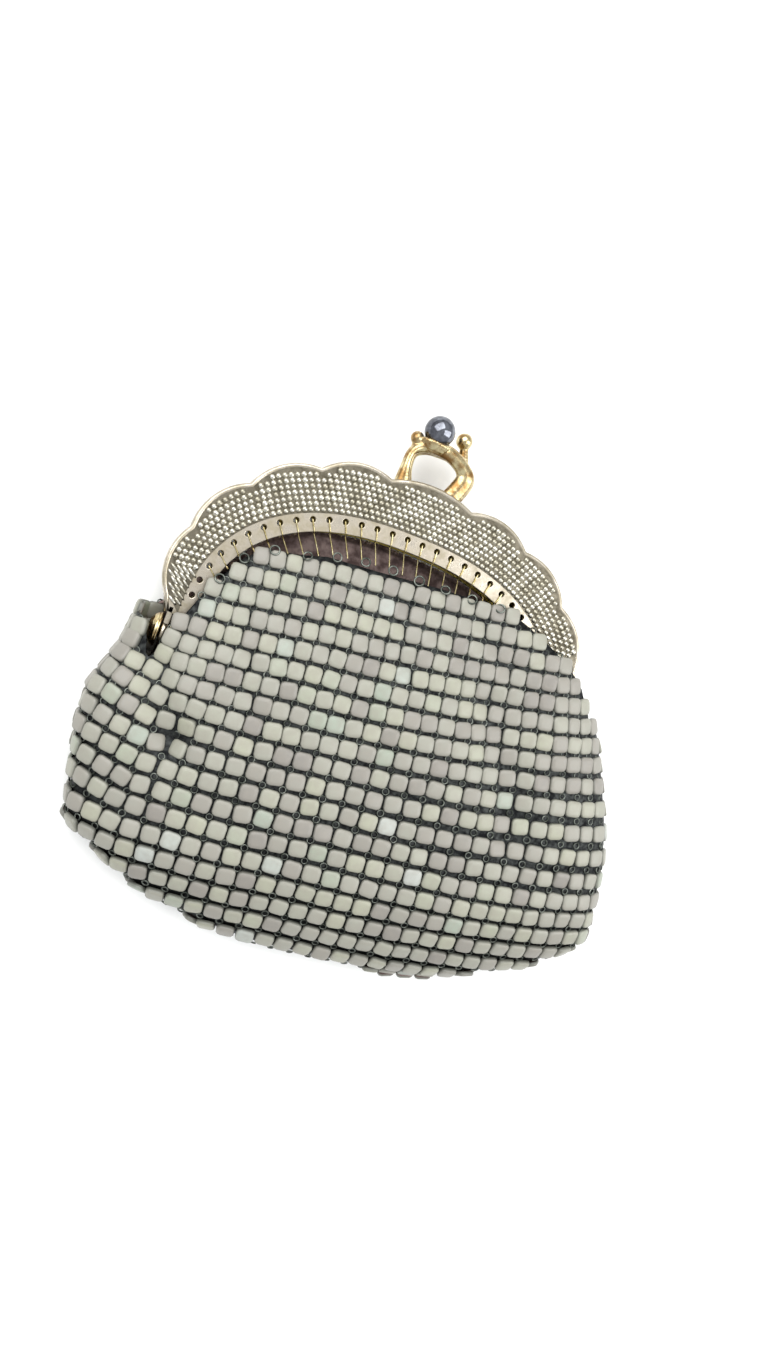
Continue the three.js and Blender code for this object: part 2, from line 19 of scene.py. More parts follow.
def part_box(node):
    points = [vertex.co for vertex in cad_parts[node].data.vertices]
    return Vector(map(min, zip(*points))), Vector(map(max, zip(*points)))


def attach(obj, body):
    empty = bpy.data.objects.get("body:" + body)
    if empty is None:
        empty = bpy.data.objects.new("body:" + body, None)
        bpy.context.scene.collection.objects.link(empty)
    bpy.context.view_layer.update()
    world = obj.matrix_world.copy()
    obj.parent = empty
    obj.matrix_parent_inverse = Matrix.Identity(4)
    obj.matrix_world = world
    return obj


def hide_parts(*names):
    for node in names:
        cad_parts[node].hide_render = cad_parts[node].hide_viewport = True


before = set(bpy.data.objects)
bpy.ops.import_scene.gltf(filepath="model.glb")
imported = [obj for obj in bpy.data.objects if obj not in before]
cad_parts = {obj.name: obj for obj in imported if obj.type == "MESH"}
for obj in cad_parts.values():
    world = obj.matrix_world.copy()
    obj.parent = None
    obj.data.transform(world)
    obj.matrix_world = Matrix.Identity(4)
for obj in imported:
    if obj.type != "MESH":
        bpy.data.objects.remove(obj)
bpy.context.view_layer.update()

MM = 0.001
print("nodes:", sorted(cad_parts))

# %% [markdown]
# ## Where things are
#
# The pieces are drawn around one handy point: the middle of the frame's top edge, on the face
# of the front half. The front half's own box gives that point, so that nothing is fitted by
# eye. Every length below is in millimetres from there, and one function turns it to metres.

# %% The purse's own origin
CENTRE_RISE = 1.7
FIELD_HEIGHT = 0.3
low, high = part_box("front_frame")
ORIGIN = Vector(((low.x + high.x) / 2, high.y - CENTRE_RISE * MM, high.z - FIELD_HEIGHT * MM))


def to_metres(point):
    return ORIGIN + Vector(point) * MM


print("origin in mm:", [round(v / MM, 2) for v in ORIGIN])

# %% [markdown]
# ## Camera
#
# The photograph was taken from nearly above, a hand's width away, with the purse turned a
# little clockwise. Such a close view has strong perspective, so the camera has its real
# distance, and its place and directions are given as they were measured on the purse.

# %% Camera
CAMERA_PLACE = (-42.456, -25.870, 181.939)
CAMERA_FORWARD = Vector((0.24572, -0.04706, -0.96820))
CAMERA_UP = Vector((-0.33001, 0.93509, -0.12921))
PHOTO_HEIGHT_PIXELS = 1365
FOCAL_PIXELS = 1027
SENSOR = 36.0

camera_data = bpy.data.cameras.new("photo_camera")
camera_data.sensor_width = SENSOR
camera_data.lens = SENSOR * FOCAL_PIXELS / PHOTO_HEIGHT_PIXELS
camera_data.clip_start = 0.005
camera = bpy.data.objects.new("photo_camera", camera_data)
right = CAMERA_FORWARD.cross(CAMERA_UP).normalized()
up = right.cross(CAMERA_FORWARD).normalized()
turn = Matrix((right, up, -CAMERA_FORWARD.normalized())).transposed()
camera.matrix_world = Matrix.Translation(to_metres(CAMERA_PLACE)) @ turn.to_4x4()
bpy.context.scene.collection.objects.link(camera)
bpy.context.scene.camera = camera
print("lens", round(camera_data.lens, 2), "mm")

# %% [markdown]
# ## Small helpers
#
# A colour is written as the hex value that a colour picker shows, and one function turns it
# to the linear light that the shaders need. One more function adds a node to any tree, sets
# its properties and fills or links its inputs. The others make what every finish shares.

# %% Helpers for colours and nodes
def paint(hex_colour):
    channels = [int(hex_colour[i:i + 2], 16) / 255 for i in (1, 3, 5)]
    linear = [c / 12.92 if c <= 0.04045 else ((c + 0.055) / 1.055) ** 2.4 for c in channels]
    return (*linear, 1.0)


def add_node(tree, kind, inputs=None, **settings):
    made = tree.nodes.new(kind)
    for name, value in settings.items():
        setattr(made, name, value)
    for key, value in (inputs or {}).items():
        if isinstance(value, bpy.types.NodeSocket):
            tree.links.new(value, made.inputs[key])
        else:
            made.inputs[key].default_value = value
    return made


def new_finish(name):
    material = bpy.data.materials.new(name)
    material.use_nodes = True
    tree = material.node_tree
    tree.nodes.clear()
    return material, tree, add_node(tree, "ShaderNodeTexCoord").outputs["Object"]


def noise(tree, place, size_mm, detail, roughness=0.5):
    return add_node(tree, "ShaderNodeTexNoise", {
        "Vector": place, "Scale": 1 / (size_mm * MM), "Detail": detail,
        "Roughness": roughness}).outputs["Fac"]


def mapped(tree, value, low, high, new_low=0.0, new_high=1.0):
    return add_node(tree, "ShaderNodeMapRange", {
        "Value": value, "From Min": low, "From Max": high,
        "To Min": new_low, "To Max": new_high}).outputs["Result"]


def mixed(tree, factor, first, second):
    return add_node(tree, "ShaderNodeMix", {"Factor": factor, "A": first, "B": second},
                    data_type="RGBA").outputs["Result"]


def bumped(tree, height, depth_mm, strength):
    return add_node(tree, "ShaderNodeBump", {
        "Height": height, "Distance": depth_mm * MM, "Strength": strength}).outputs["Normal"]


def show_surface(tree, inputs):
    shader = add_node(tree, "ShaderNodeBsdfPrincipled", inputs)
    add_node(tree, "ShaderNodeOutputMaterial", {"Surface": shader.outputs["BSDF"]})


# %% [markdown]
# ## Helpers for meshes
#
# Points are given in millimetres from the purse's own origin. Two functions join rings of
# points with faces, one to a dome and one to a tube, and another turns all faces outwards and,
# where it is asked to, welds points or rounds edges.

# %% Helpers for meshes
def link_object(name, mesh):
    piece = bpy.data.objects.new(name, mesh)
    bpy.context.scene.collection.objects.link(piece)
    return piece


def shade(piece, smooth=True):
    for face in piece.data.polygons:
        face.use_smooth = smooth
    return piece


def mesh_piece(name, points, faces, smooth=True, edges=()):
    mesh = bpy.data.meshes.new(name)
    mesh.from_pydata([to_metres(p) for p in points], edges, faces)
    mesh.update()
    return shade(link_object(name, mesh), smooth)


def loose_shape(name, points, faces):
    mesh = bpy.data.meshes.new(name)
    mesh.from_pydata([Vector(p) * MM for p in points], [], faces)
    return bpy.data.objects.new(name, mesh)


def dome_faces(rings, sides):
    faces = []
    for ring in range(rings):
        for i in range(sides):
            a = 1 + ring * sides + i
            b = 1 + ring * sides + (i + 1) % sides
            faces.append((0, a, b) if ring == 0 else (a - sides, a, b, b - sides))
    return faces


def tube_faces(stations, sides, closed):
    faces = []
    for i in range(stations if closed else stations - 1):
        n = (i + 1) % stations
        for j in range(sides):
            k = (j + 1) % sides
            faces.append((i * sides + j, n * sides + j, n * sides + k, i * sides + k))
    return faces


def outward(piece, merge=0.0, bevel=0.0):
    shape = bmesh.new()
    shape.from_mesh(piece.data)
    if merge:
        bmesh.ops.remove_doubles(shape, verts=shape.verts, dist=merge * MM)
    bmesh.ops.recalc_face_normals(shape, faces=shape.faces)
    if bevel:
        bmesh.ops.bevel(shape, geom=shape.edges, offset=bevel * MM, segments=2, affect="EDGES")
    shape.to_mesh(piece.data)
    shape.free()
    return piece


def count_triangles(piece):
    return sum(len(face.vertices) - 2 for face in piece.data.polygons)


# %% [markdown]
# ## Metals
#
# The frame is thin brass sheet, stamped and plated in a pale champagne tone. Plating is thin:
# it dulls to brown in the hollows and rubs bright on the high spots. A metal shader with its
# default index of refraction gives the mirror part, and a noise at the scale of fingerprints
# and polish marks varies colour and roughness. The hollows get a darker finish of their own,
# brown patina together with painted shade between the pebbles.

# %% Finishes of metal
PATCH_RANGE = (0.38, 0.62)
SHINE_RANGE = (0.3, 0.7)
LEAST_ROUGHNESS = 0.04


def metal_finish(name, bright, dull, roughness, patch_mm, grain_mm, grain_depth_mm, spread=0.12):
    material, tree, place = new_finish(name)
    patches = noise(tree, place, patch_mm, 4.0, 0.6)
    colour = mixed(tree, mapped(tree, patches, *PATCH_RANGE), paint(bright), paint(dull))
    least = max(roughness - spread, LEAST_ROUGHNESS)
    show_surface(tree, {
        "Base Color": colour, "Metallic": 1.0,
        "Roughness": mapped(tree, patches, *SHINE_RANGE, least, roughness + spread),
        "Normal": bumped(tree, noise(tree, place, grain_mm, 3.0), grain_depth_mm, 0.6)})
    return material


champagne = metal_finish("champagne_plated_brass", "#c9c0b0", "#a19884", 0.32, 3.0, 0.35, 0.02)
pebble_plate = metal_finish("pebbled_champagne_plate", "#cbc8bd", "#a09b8a", 0.30, 2.2, 0.3, 0.01)
# The field between the pebbles is darker than the plate: brown patina together with painted shade in
# the hollows.
field_patina_and_painted_shade = metal_finish("brown_patina_in_the_hollows", "#777163", "#565145", 0.42, 1.6, 0.4, 0.02)
inner_brass = metal_finish("bare_inner_brass", "#c9b96a", "#97843f", 0.28, 2.5, 0.4, 0.02)
cast_gold = metal_finish("cast_gilt_brass", "#cfc298", "#8a6a40", 0.24, 2.2, 0.8, 0.006, 0.08)
dark_silver = metal_finish("polished_dark_silver", "#7f8289", "#4c4d53", 0.10, 2.0, 0.25, 0.004, 0.04)
wire_gold = metal_finish("drawn_gilt_wire", "#d2c79e", "#a0915f", 0.25, 1.0, 0.2, 0.01)
link_steel = metal_finish("oxidised_steel_links", "#777b74", "#41453f", 0.40, 1.5, 0.2, 0.01)
print("finishes so far:", len(bpy.data.materials))

# %% [markdown]
# ## Enamel
#
# Each plate of the bag is brass, enamelled in a pale sage ivory. Enamel is glass fused on
# metal: it is opaque here, with a soft gloss, a slight unevenness from firing, and small
# differences from plate to plate. Every plate carries a random number, its tint, and a ramp
# turns that to one of the tones. Down a plate's walls the colour darkens to grey: painted
# shade in the gaps between the plates.

# %% Finishes of the plates
PLATE_TONES = [
    (0.00, "#7c7871"), (0.16, "#86837a"), (0.40, "#8d8c81"), (0.70, "#919183"),
    (0.92, "#959583"), (0.97, "#8c9485"), (1.00, "#a6a9a3"),
]


def enamel_finish():
    material, tree, place = new_finish("sage_ivory_enamel")
    tint = add_node(tree, "ShaderNodeAttribute", attribute_name="tint")
    tones = add_node(tree, "ShaderNodeValToRGB", {"Fac": tint.outputs["Fac"]})
    stops = tones.color_ramp.elements
    while len(stops) < len(PLATE_TONES):
        stops.new(0.5)
    for stop, (position, tone) in zip(stops, PLATE_TONES):
        stop.position = position
        stop.color = paint(tone)
    uneven = mapped(tree, noise(tree, place, 1.4, 3.0), 0.35, 0.65, 0.0, 0.35)
    fired = mixed(tree, uneven, tones.outputs["Color"], paint("#888278"))
    # The wall share darkens the colour to grey towards the foot of each wall: painted shade in the
    # gaps between the plates.
    edge = add_node(tree, "ShaderNodeAttribute", attribute_name="wall")
    skin = noise(tree, place, 0.5, 2.0)
    show_surface(tree, {
        "Base Color": mixed(tree, edge.outputs["Fac"], fired, paint("#5b5c55")),
        "Roughness": mapped(tree, skin, 0.0, 1.0, 0.38, 0.58),
        "IOR": 1.5, "Coat Weight": 0.15, "Coat Roughness": 0.2,
        "Normal": bumped(tree, skin, 0.03, 0.5)})
    return material


enamel = enamel_finish()
plate_back = metal_finish("mauve_brown_plate_backs", "#85746f", "#5a4b48", 0.50, 2.0, 0.5, 0.03)
# The near-black net stands for the prongs and rings, and its darkness is also painted shade in the
# gaps between the plates.
dark_net_and_painted_gap_shade = metal_finish("blackened_steel_net", "#3a3c3b", "#1c1d1e", 0.55, 1.0, 0.35, 0.08)
print("plate tones:", len(PLATE_TONES))

# %% [markdown]
# ## Floor and light
#
# The photograph has a plain white ground and even light from a large window above. The floor
# is a wide pale sheet, and two soft boxes stand above it, a large one on the upper left and
# a smaller one on the right. The sky around them is nearly white, which the metal mirrors.

# %% Floor and light
def floor_finish():
    material, tree, place = new_finish("pale_matt_board")
    tone = mixed(tree, noise(tree, place, 3.0, 4.0), paint("#f6f6f4"), paint("#f2f2f0"))
    show_surface(tree, {"Base Color": tone, "Roughness": 0.85, "Specular IOR Level": 0.2})
    return material


def soft_box(name, place, target, size, power):
    data = bpy.data.lights.new(name, "AREA")
    data.shape = "RECTANGLE"
    data.size, data.size_y = size
    data.energy = power
    lamp = bpy.data.objects.new(name, data)
    lamp.location = place
    lamp.rotation_euler = (Vector(target) - Vector(place)).to_track_quat("-Z", "Y").to_euler()
    bpy.context.scene.collection.objects.link(lamp)
    return lamp


FLOOR_HALF = 1.5
floor_mesh = bpy.data.meshes.new("floor")
floor_mesh.from_pydata(
    [(-FLOOR_HALF, -FLOOR_HALF, 0), (FLOOR_HALF, -FLOOR_HALF, 0),
     (FLOOR_HALF, FLOOR_HALF, 0), (-FLOOR_HALF, FLOOR_HALF, 0)], [], [(0, 1, 2, 3)])
floor = link_object("floor", floor_mesh)
floor.data.materials.append(floor_finish())

soft_box("window_box", (-0.28, 0.34, 0.55), (0, 0, 0), (0.90, 0.60), 6.0)
soft_box("side_box", (0.42, 0.05, 0.38), (0, 0, 0), (0.35, 0.60), 2.2)

world = bpy.data.worlds.new("studio")
world.use_nodes = True
sky = world.node_tree
sky.nodes.clear()
glow = add_node(sky, "ShaderNodeBackground", {"Color": paint("#f3f5f8"), "Strength": 0.9})
add_node(sky, "ShaderNodeOutputWorld", {"Surface": glow.outputs["Background"]})
bpy.context.scene.world = world
bpy.context.scene.view_settings.view_transform = "Standard"

# %% [markdown]
# ## The outline of the frame
#
# The edge of each frame half is nine shallow lobes, a shorter chain on each side of a wide
# middle one. The chain is worked out as the maker would with dividers: equal chords, each
# turned a little further than the last, and on each chord an arc of the same rise. The
# opening below is a squarish arch, which a superellipse draws from its width and height.

# %% Edge, arch and holes
END_WIDTH = 75.2
CENTRE_CHORD = 0.213 * END_WIDTH
LOBE_CHORD = 0.17 * END_WIDTH
LOBE_RISE = 2.0
LOBE_TURNS = (13, 33.5, 56.3, 88.5)
LOBE_STEPS = 14
FRAME_DROP = 0.479 * END_WIDTH
SPRING_LINE = 0.5
LEG_WIDTH = 5.4
CROWN_DEPTH = 11.0
ARCH_WIDTH = END_WIDTH - 2 * LEG_WIDTH
ARCH_RISE = FRAME_DROP - SPRING_LINE - CROWN_DEPTH
ARCH_SQUARENESS = 2.4
ARCH_STEPS = 120
BAND = 3.1
SHEET = 0.9
RIM_DEPTH = 2.65
SEAT_GAP = 0.3
THICKNESS = 2 * RIM_DEPTH + SEAT_GAP
HOLE_DIAMETER = 1.3
HOLE_PITCH = 2.95
HOLE_INSET = 2.0
HOLE_END_ROOM = 3.1


def lobe_points(a, b, rise):
    chord = (b - a).length
    radius = (chord * chord / 4 + rise * rise) / (2 * rise)
    half = math.asin(chord / 2 / radius)
    along = (b - a) / chord
    out = Vector((-along.y, along.x))
    centre = (a + b) / 2 + out * (rise - radius)
    angles = [-half + 2 * half * i / LOBE_STEPS for i in range(LOBE_STEPS)]
    return [centre + along * radius * math.sin(t) + out * radius * math.cos(t) for t in angles]


def scallop_edge():
    cusps = [Vector((CENTRE_CHORD / 2, 0))]
    for lobe_turn in LOBE_TURNS:
        angle = math.radians(-lobe_turn)
        cusps.append(cusps[-1] + LOBE_CHORD * Vector((math.cos(angle), math.sin(angle))))
    chain = [Vector((-p.x, p.y)) for p in reversed(cusps)] + cusps
    points = [Vector((-END_WIDTH / 2, -FRAME_DROP))]
    middle = len(cusps) - 1
    for i in range(len(chain) - 1):
        points += lobe_points(chain[i], chain[i + 1], CENTRE_RISE if i == middle else LOBE_RISE)
    return points + [chain[-1], Vector((END_WIDTH / 2, -FRAME_DROP))]


def moved_in(points, distance):
    moved = []
    for i, point in enumerate(points):
        before = points[max(i - 1, 0)]
        after = points[min(i + 1, len(points) - 1)]
        along = (after - before).normalized()
        moved.append(point + Vector((along.y, -along.x)) * distance)
    return moved


def arch_edge(margin):
    points = []
    power = 2 / ARCH_SQUARENESS
    for i in range(ARCH_STEPS + 1):
        angle = math.pi * i / ARCH_STEPS
        across = math.copysign(abs(math.cos(angle)) ** power, math.cos(angle))
        rise = abs(math.sin(angle)) ** power
        points.append(Vector(((ARCH_WIDTH / 2 + margin) * across,
                              SPRING_LINE - FRAME_DROP + (ARCH_RISE + margin) * rise)))
    return points


def run_lengths(points):
    steps = [0.0]
    for a, b in zip(points, points[1:]):
        steps.append(steps[-1] + (b - a).length)
    return steps


def places_on(points, places):
    steps = run_lengths(points)
    xs = np.interp(places, steps, [p.x for p in points])
    ys = np.interp(places, steps, [p.y for p in points])
    return [Vector((x, y)) for x, y in zip(xs, ys)]


def spaced(points, pitch, end_room):
    length = run_lengths(points)[-1]
    count = int((length - 2 * end_room) // pitch)
    return places_on(points, [length / 2 + (i - count / 2) * pitch for i in range(count + 1)])


def around_middle(points, pitch, shift):
    length = run_lengths(points)[-1]
    reach = int(length / 2 / pitch)
    return places_on(points, [length / 2 + (i + shift) * pitch for i in range(-reach, reach)])


EDGE = scallop_edge()
HOLES = spaced(arch_edge(HOLE_INSET), HOLE_PITCH, HOLE_END_ROOM)
print("edge points", len(EDGE), "sewing holes", len(HOLES))

# %% [markdown]
# ## A frame half
#
# The plate is stamped from sheet, with a row of sewing holes along its plain band. A flat
# curve with the holes as inner rings, extruded and bevelled, gives just that, with rounded
# edges all round. The rolled rim is a small profile swept along the lobes: a bead on the
# face and a wall that turns down. The sheet's inner side keeps its bare brass. Each piece is
# noted with the solid that it stands for and a finish slot name.

# %% Plate, patina and rim
RIM_PROFILE = [
    (0.0, -RIM_DEPTH), (0.0, -0.40), (0.05, -0.14), (0.20, 0.10), (0.45, 0.20),
    (0.72, 0.14), (0.90, -0.04), (0.94, -0.40), (0.90, -RIM_DEPTH),
]
HOLE_SIDES = 20
SHEET_INSET = 0.45
SHEET_BEVEL = 0.1
FIELD_INSET = 0.8
FIELD_BOTTOM = -0.2
FIELD_TOP = 0.06
FIELD_BEVEL = 0.02


def half_turn(point):
    return (-point[0], point[1], -THICKNESS - point[2])


def flat_piece(name, rings, bottom, top, bevel, back, finishes):
    curve = bpy.data.curves.new(name, "CURVE")
    curve.dimensions = "2D"
    curve.fill_mode = "BOTH"
    curve.extrude = ((top - bottom) / 2 - bevel) * MM
    curve.bevel_depth = bevel * MM
    curve.bevel_resolution = 2
    for ring in rings:
        spline = curve.splines.new("POLY")
        spline.points.add(len(ring) - 1)
        for spot, point in zip(spline.points, ring):
            spot.co = (point.x * MM, point.y * MM, 0, 1)
        spline.use_cyclic_u = True
    drawn = link_object(name, curve)
    bpy.context.view_layer.update()
    mesh = bpy.data.meshes.new_from_object(drawn.evaluated_get(bpy.context.evaluated_depsgraph_get()))
    bpy.data.objects.remove(drawn)
    middle = (top + bottom) / 2
    for vertex in mesh.vertices:
        point = (vertex.co.x / MM, vertex.co.y / MM, vertex.co.z / MM + middle)
        vertex.co = to_metres(half_turn(point) if back else point)
    mesh.name = name
    mesh.materials.clear()
    for finish in finishes:
        mesh.materials.append(finish)
    mesh.update()
    inward = 1 if back else -1
    for face in mesh.polygons:
        face.use_smooth = False
        face.material_index = int(len(finishes) > 1 and face.normal.z * inward > 0.5)
    return link_object(name, mesh)


def rim_piece(name, back):
    lines = [moved_in(EDGE, inset) for inset, _ in RIM_PROFILE]
    points = []
    for i in range(len(EDGE)):
        for line, (_, level) in zip(lines, RIM_PROFILE):
            point = (line[i].x, line[i].y, level)
            points.append(half_turn(point) if back else point)
    sides = len(RIM_PROFILE)
    faces = tube_faces(len(EDGE), sides, False)
    last = (len(EDGE) - 1) * sides
    faces.append(tuple(range(sides)))
    faces.append(tuple(last + j for j in reversed(range(sides))))
    piece = mesh_piece(name, points, faces)
    piece.data.materials.append(champagne)
    return outward(piece)


circle = np.linspace(0, 2 * math.pi, HOLE_SIDES, endpoint=False)
hole_rings = [[centre + HOLE_DIAMETER / 2 * Vector((math.cos(a), math.sin(a))) for a in circle]
              for centre in HOLES]
leg_feet = [Vector((side * ARCH_WIDTH / 2, -FRAME_DROP)) for side in (1, -1)]
sheet_ring = moved_in(EDGE, SHEET_INSET) + leg_feet[:1] + arch_edge(0) + leg_feet[1:]
field_ring = moved_in(EDGE, FIELD_INSET)[1:-1] + arch_edge(BAND)
dressed = []
for side, back in (("front", False), ("back", True)):
    plate = flat_piece(side + "_frame_plate", [sheet_ring] + hole_rings, -SHEET, 0, SHEET_BEVEL,
                       back, (champagne, inner_brass))
    # The field takes the darker hollow finish: patina together with painted shade between the
    # pebbles.
    field = flat_piece(side + "_frame_field", [field_ring], FIELD_BOTTOM, FIELD_TOP, FIELD_BEVEL,
                       back, (field_patina_and_painted_shade,))
    rim = rim_piece(side + "_frame_rim", back)
    dressed += [(piece, side + "_frame", "frame_plate") for piece in (plate, field, rim)]
    print(side, "plate", count_triangles(plate), "rim", count_triangles(rim))

# %% [markdown]
# ## Laying small pieces on points
#
# Pebbles, plates and rings all repeat hundreds of times on a surface. One Geometry Nodes tree
# lays them: each point carries the direction that the piece faces and the direction of its
# row, and the tree puts an instance there, turns it, adds a little seeded disorder, and makes
# it real. The result is turned to a plain mesh, and the tree's modifier goes.

# %% A tree that lays pieces on points
def new_tree(name, inputs, result):
    tree = bpy.data.node_groups.new(name, "GeometryNodeTree")
    for label, kind in inputs.items():
        tree.interface.new_socket(label, in_out="INPUT", socket_type="NodeSocket" + kind)
    tree.interface.new_socket(result, in_out="OUTPUT", socket_type="NodeSocketGeometry")
    return tree, add_node(tree, "NodeGroupInput").outputs


def first_enabled(node):
    return [socket for socket in node.outputs if socket.enabled][0]


def laying_tree():
    tree, given = new_tree("lay_pieces", {
        "Points": "Geometry", "Piece": "Object", "Tilt": "Float", "Size Spread": "Float",
        "Seed": "Int", "Face Finish": "Material", "Back Finish": "Material"}, "Laid")

    def named(name, kind="FLOAT_VECTOR"):
        return first_enabled(add_node(tree, "GeometryNodeInputNamedAttribute", {"Name": name},
                                      data_type=kind))

    def reckoned(operation, first, second):
        return add_node(tree, "ShaderNodeMath", {0: first, 1: second},
                        operation=operation).outputs[0]

    def threefold(value):
        return add_node(tree, "ShaderNodeCombineXYZ", {"X": value, "Y": value, "Z": value}).outputs[0]

    def chance(kind, least, most, seed):
        return first_enabled(add_node(tree, "FunctionNodeRandomValue", {
            "Min": least, "Max": most, "Seed": seed}, data_type=kind))

    stand = add_node(tree, "FunctionNodeAlignRotationToVector", {"Vector": named("facing")}, axis="Z")
    turned = add_node(tree, "FunctionNodeAlignRotationToVector", {
        "Rotation": stand.outputs["Rotation"], "Vector": named("rowward")}, axis="X", pivot_axis="Z")
    lowest = threefold(reckoned("MULTIPLY", given["Tilt"], -1.0))
    wobble = chance("FLOAT_VECTOR", lowest, threefold(given["Tilt"]), given["Seed"])
    wobbled = add_node(tree, "FunctionNodeEulerToRotation", {"Euler": wobble})
    uneven = add_node(tree, "FunctionNodeRotateRotation", {
        "Rotation": turned.outputs["Rotation"], "Rotate By": wobbled.outputs["Rotation"]},
        rotation_space="LOCAL")
    factor = chance("FLOAT", reckoned("SUBTRACT", 1.0, given["Size Spread"]),
                    reckoned("ADD", 1.0, given["Size Spread"]), reckoned("ADD", given["Seed"], 1.0))
    scale = add_node(tree, "ShaderNodeVectorMath", {0: named("size"), "Scale": factor},
                     operation="SCALE")
    piece = add_node(tree, "GeometryNodeObjectInfo", {"Object": given["Piece"], "As Instance": True})
    laid = add_node(tree, "GeometryNodeInstanceOnPoints", {
        "Points": given["Points"], "Instance": piece.outputs["Geometry"],
        "Rotation": uneven.outputs["Rotation"], "Scale": scale.outputs["Vector"]})
    real = add_node(tree, "GeometryNodeRealizeInstances", {"Geometry": laid.outputs["Instances"]})
    faced = add_node(tree, "GeometryNodeSetMaterial", {
        "Geometry": real.outputs["Geometry"], "Material": given["Face Finish"]})
    backed = add_node(tree, "GeometryNodeSetMaterial", {
        "Geometry": faced.outputs["Geometry"], "Selection": named("underside", "BOOLEAN"),
        "Material": given["Back Finish"]})
    add_node(tree, "NodeGroupOutput", {"Laid": backed.outputs["Geometry"]})
    return tree


LAYING = laying_tree()


def set_inputs(modifier, values):
    for item in modifier.node_group.interface.items_tree:
        if item.item_type == "SOCKET" and item.in_out == "INPUT" and item.name in values:
            modifier[item.identifier] = values[item.name]


def made_plain(carrier):
    bpy.context.view_layer.update()
    depsgraph = bpy.context.evaluated_depsgraph_get()
    mesh = bpy.data.meshes.new_from_object(
        carrier.evaluated_get(depsgraph), preserve_all_data_layers=True, depsgraph=depsgraph)
    carrier.modifiers.clear()
    name = carrier.name
    bpy.data.objects.remove(carrier)
    mesh.name = name
    return link_object(name, mesh)


def laid_piece(name, spots, shape, face_finish, back_finish, tilt=0.0, spread=0.0, seed=1):
    mesh = bpy.data.meshes.new(name + "_points")
    mesh.from_pydata([to_metres(spot["place"]) for spot in spots], [], [])
    for key in ("facing", "rowward", "size"):
        values = np.array([spot[key] for spot in spots], np.float32).ravel()
        mesh.attributes.new(key, "FLOAT_VECTOR", "POINT").data.foreach_set("vector", values)
    tints = np.array([spot.get("tint", 0.5) for spot in spots], np.float32)
    mesh.attributes.new("tint", "FLOAT", "POINT").data.foreach_set("value", tints)
    carrier = link_object(name, mesh)
    modifier = carrier.modifiers.new("lay", "NODES")
    modifier.node_group = LAYING
    set_inputs(modifier, {
        "Piece": shape, "Tilt": tilt, "Size Spread": spread, "Seed": seed,
        "Face Finish": face_finish, "Back Finish": back_finish})
    return shade(made_plain(carrier))


print("laying tree nodes:", len(LAYING.nodes))

# %% [markdown]
# ## Pebbled relief
#
# The stamped field is covered with small round pebbles, a millimetre apart, in rows that
# follow the arch and stand staggered like roe. A pebble is a low dome of a few faces. The
# rows are the arch's own line moved outwards a step at a time, and a pebble stays where it
# clears the rim. At the foot of the left leg the stamping turns to fine slanting ridges.

# %% Pebbles
PEBBLE_PITCH = 1.12
PEBBLE_ROW = 0.98
PEBBLE_WIDTH = 1.14
PEBBLE_HEIGHT = 0.44
PEBBLE_SIDES = 8
PEBBLE_ROWS = 24
PEBBLE_RINGS = [(0.55, 0.84), (0.88, 0.45), (1.0, -0.1)]
PEBBLE_SEAT = 0.05
FIRST_PEBBLES = 0.62
RIM_ROOM = 1.35
RIDGE_TOP = -FRAME_DROP + 8.5
RIDGE_STRETCH = (1.9, 0.55, 0.8)
RIDGE_SLANT = math.radians(-35)


def pebble_shape():
    points = [(0, 0, PEBBLE_HEIGHT)]
    for share, level in PEBBLE_RINGS:
        reach = PEBBLE_WIDTH / 2 * share
        for i in range(PEBBLE_SIDES):
            angle = 2 * math.pi * i / PEBBLE_SIDES
            points.append((reach * math.cos(angle), reach * math.sin(angle), PEBBLE_HEIGHT * level))
    return loose_shape("pebble", points, dome_faces(len(PEBBLE_RINGS), PEBBLE_SIDES))


def gap_to(line, point):
    best = 1e9
    for a, b in zip(line, line[1:]):
        along = b - a
        share = min(max((point - a).dot(along) / along.length_squared, 0), 1)
        best = min(best, (a + along * share - point).length)
    return best


def inside(ring, point):
    crossings = 0
    for a, b in zip(ring, ring[1:] + ring[:1]):
        if (a.y > point.y) != (b.y > point.y):
            crossings += a.x + (point.y - a.y) / (b.y - a.y) * (b.x - a.x) > point.x
    return crossings % 2 == 1


def pebble_spots(back):
    spots = []
    ridge = Vector((math.cos(RIDGE_SLANT), math.sin(RIDGE_SLANT), 0))
    for row in range(PEBBLE_ROWS):
        line = arch_edge(BAND + FIRST_PEBBLES + PEBBLE_ROW * row)
        for point in around_middle(line, PEBBLE_PITCH, 0.5 * (row % 2)):
            if not inside(EDGE, point) or gap_to(EDGE, point) < RIM_ROOM:
                continue
            ridged = point.x < 0 and point.y < RIDGE_TOP
            place = (point.x, point.y, PEBBLE_SEAT)
            rowward = ridge if ridged else Vector((1, 0, 0))
            if back:
                place = half_turn(place)
                rowward = Vector((-rowward.x, rowward.y, 0))
            spots.append({"place": place, "facing": (0, 0, -1 if back else 1),
                          "rowward": rowward, "size": RIDGE_STRETCH if ridged else (1, 1, 1)})
    return spots


pebble = pebble_shape()
for side, back in (("front", False), ("back", True)):
    spots = pebble_spots(back)
    studs = laid_piece(side + "_frame_pebbles", spots, pebble, pebble_plate, pebble_plate,
                       spread=0.13, seed=11 + back)
    dressed.append((studs, side + "_frame", "frame_plate"))
    print(side, "pebbles", len(spots), "triangles", count_triangles(studs))

# %% [markdown]
# ## Hinge
#
# Each end of the frame turns on a rivet with a ringed dome, and an ear on each half holds it.
# The rivet is turned metal, so it is made as on a lathe: a profile of four rounded steps is
# spun once round the hinge line. The ears are round lugs with softened edges.

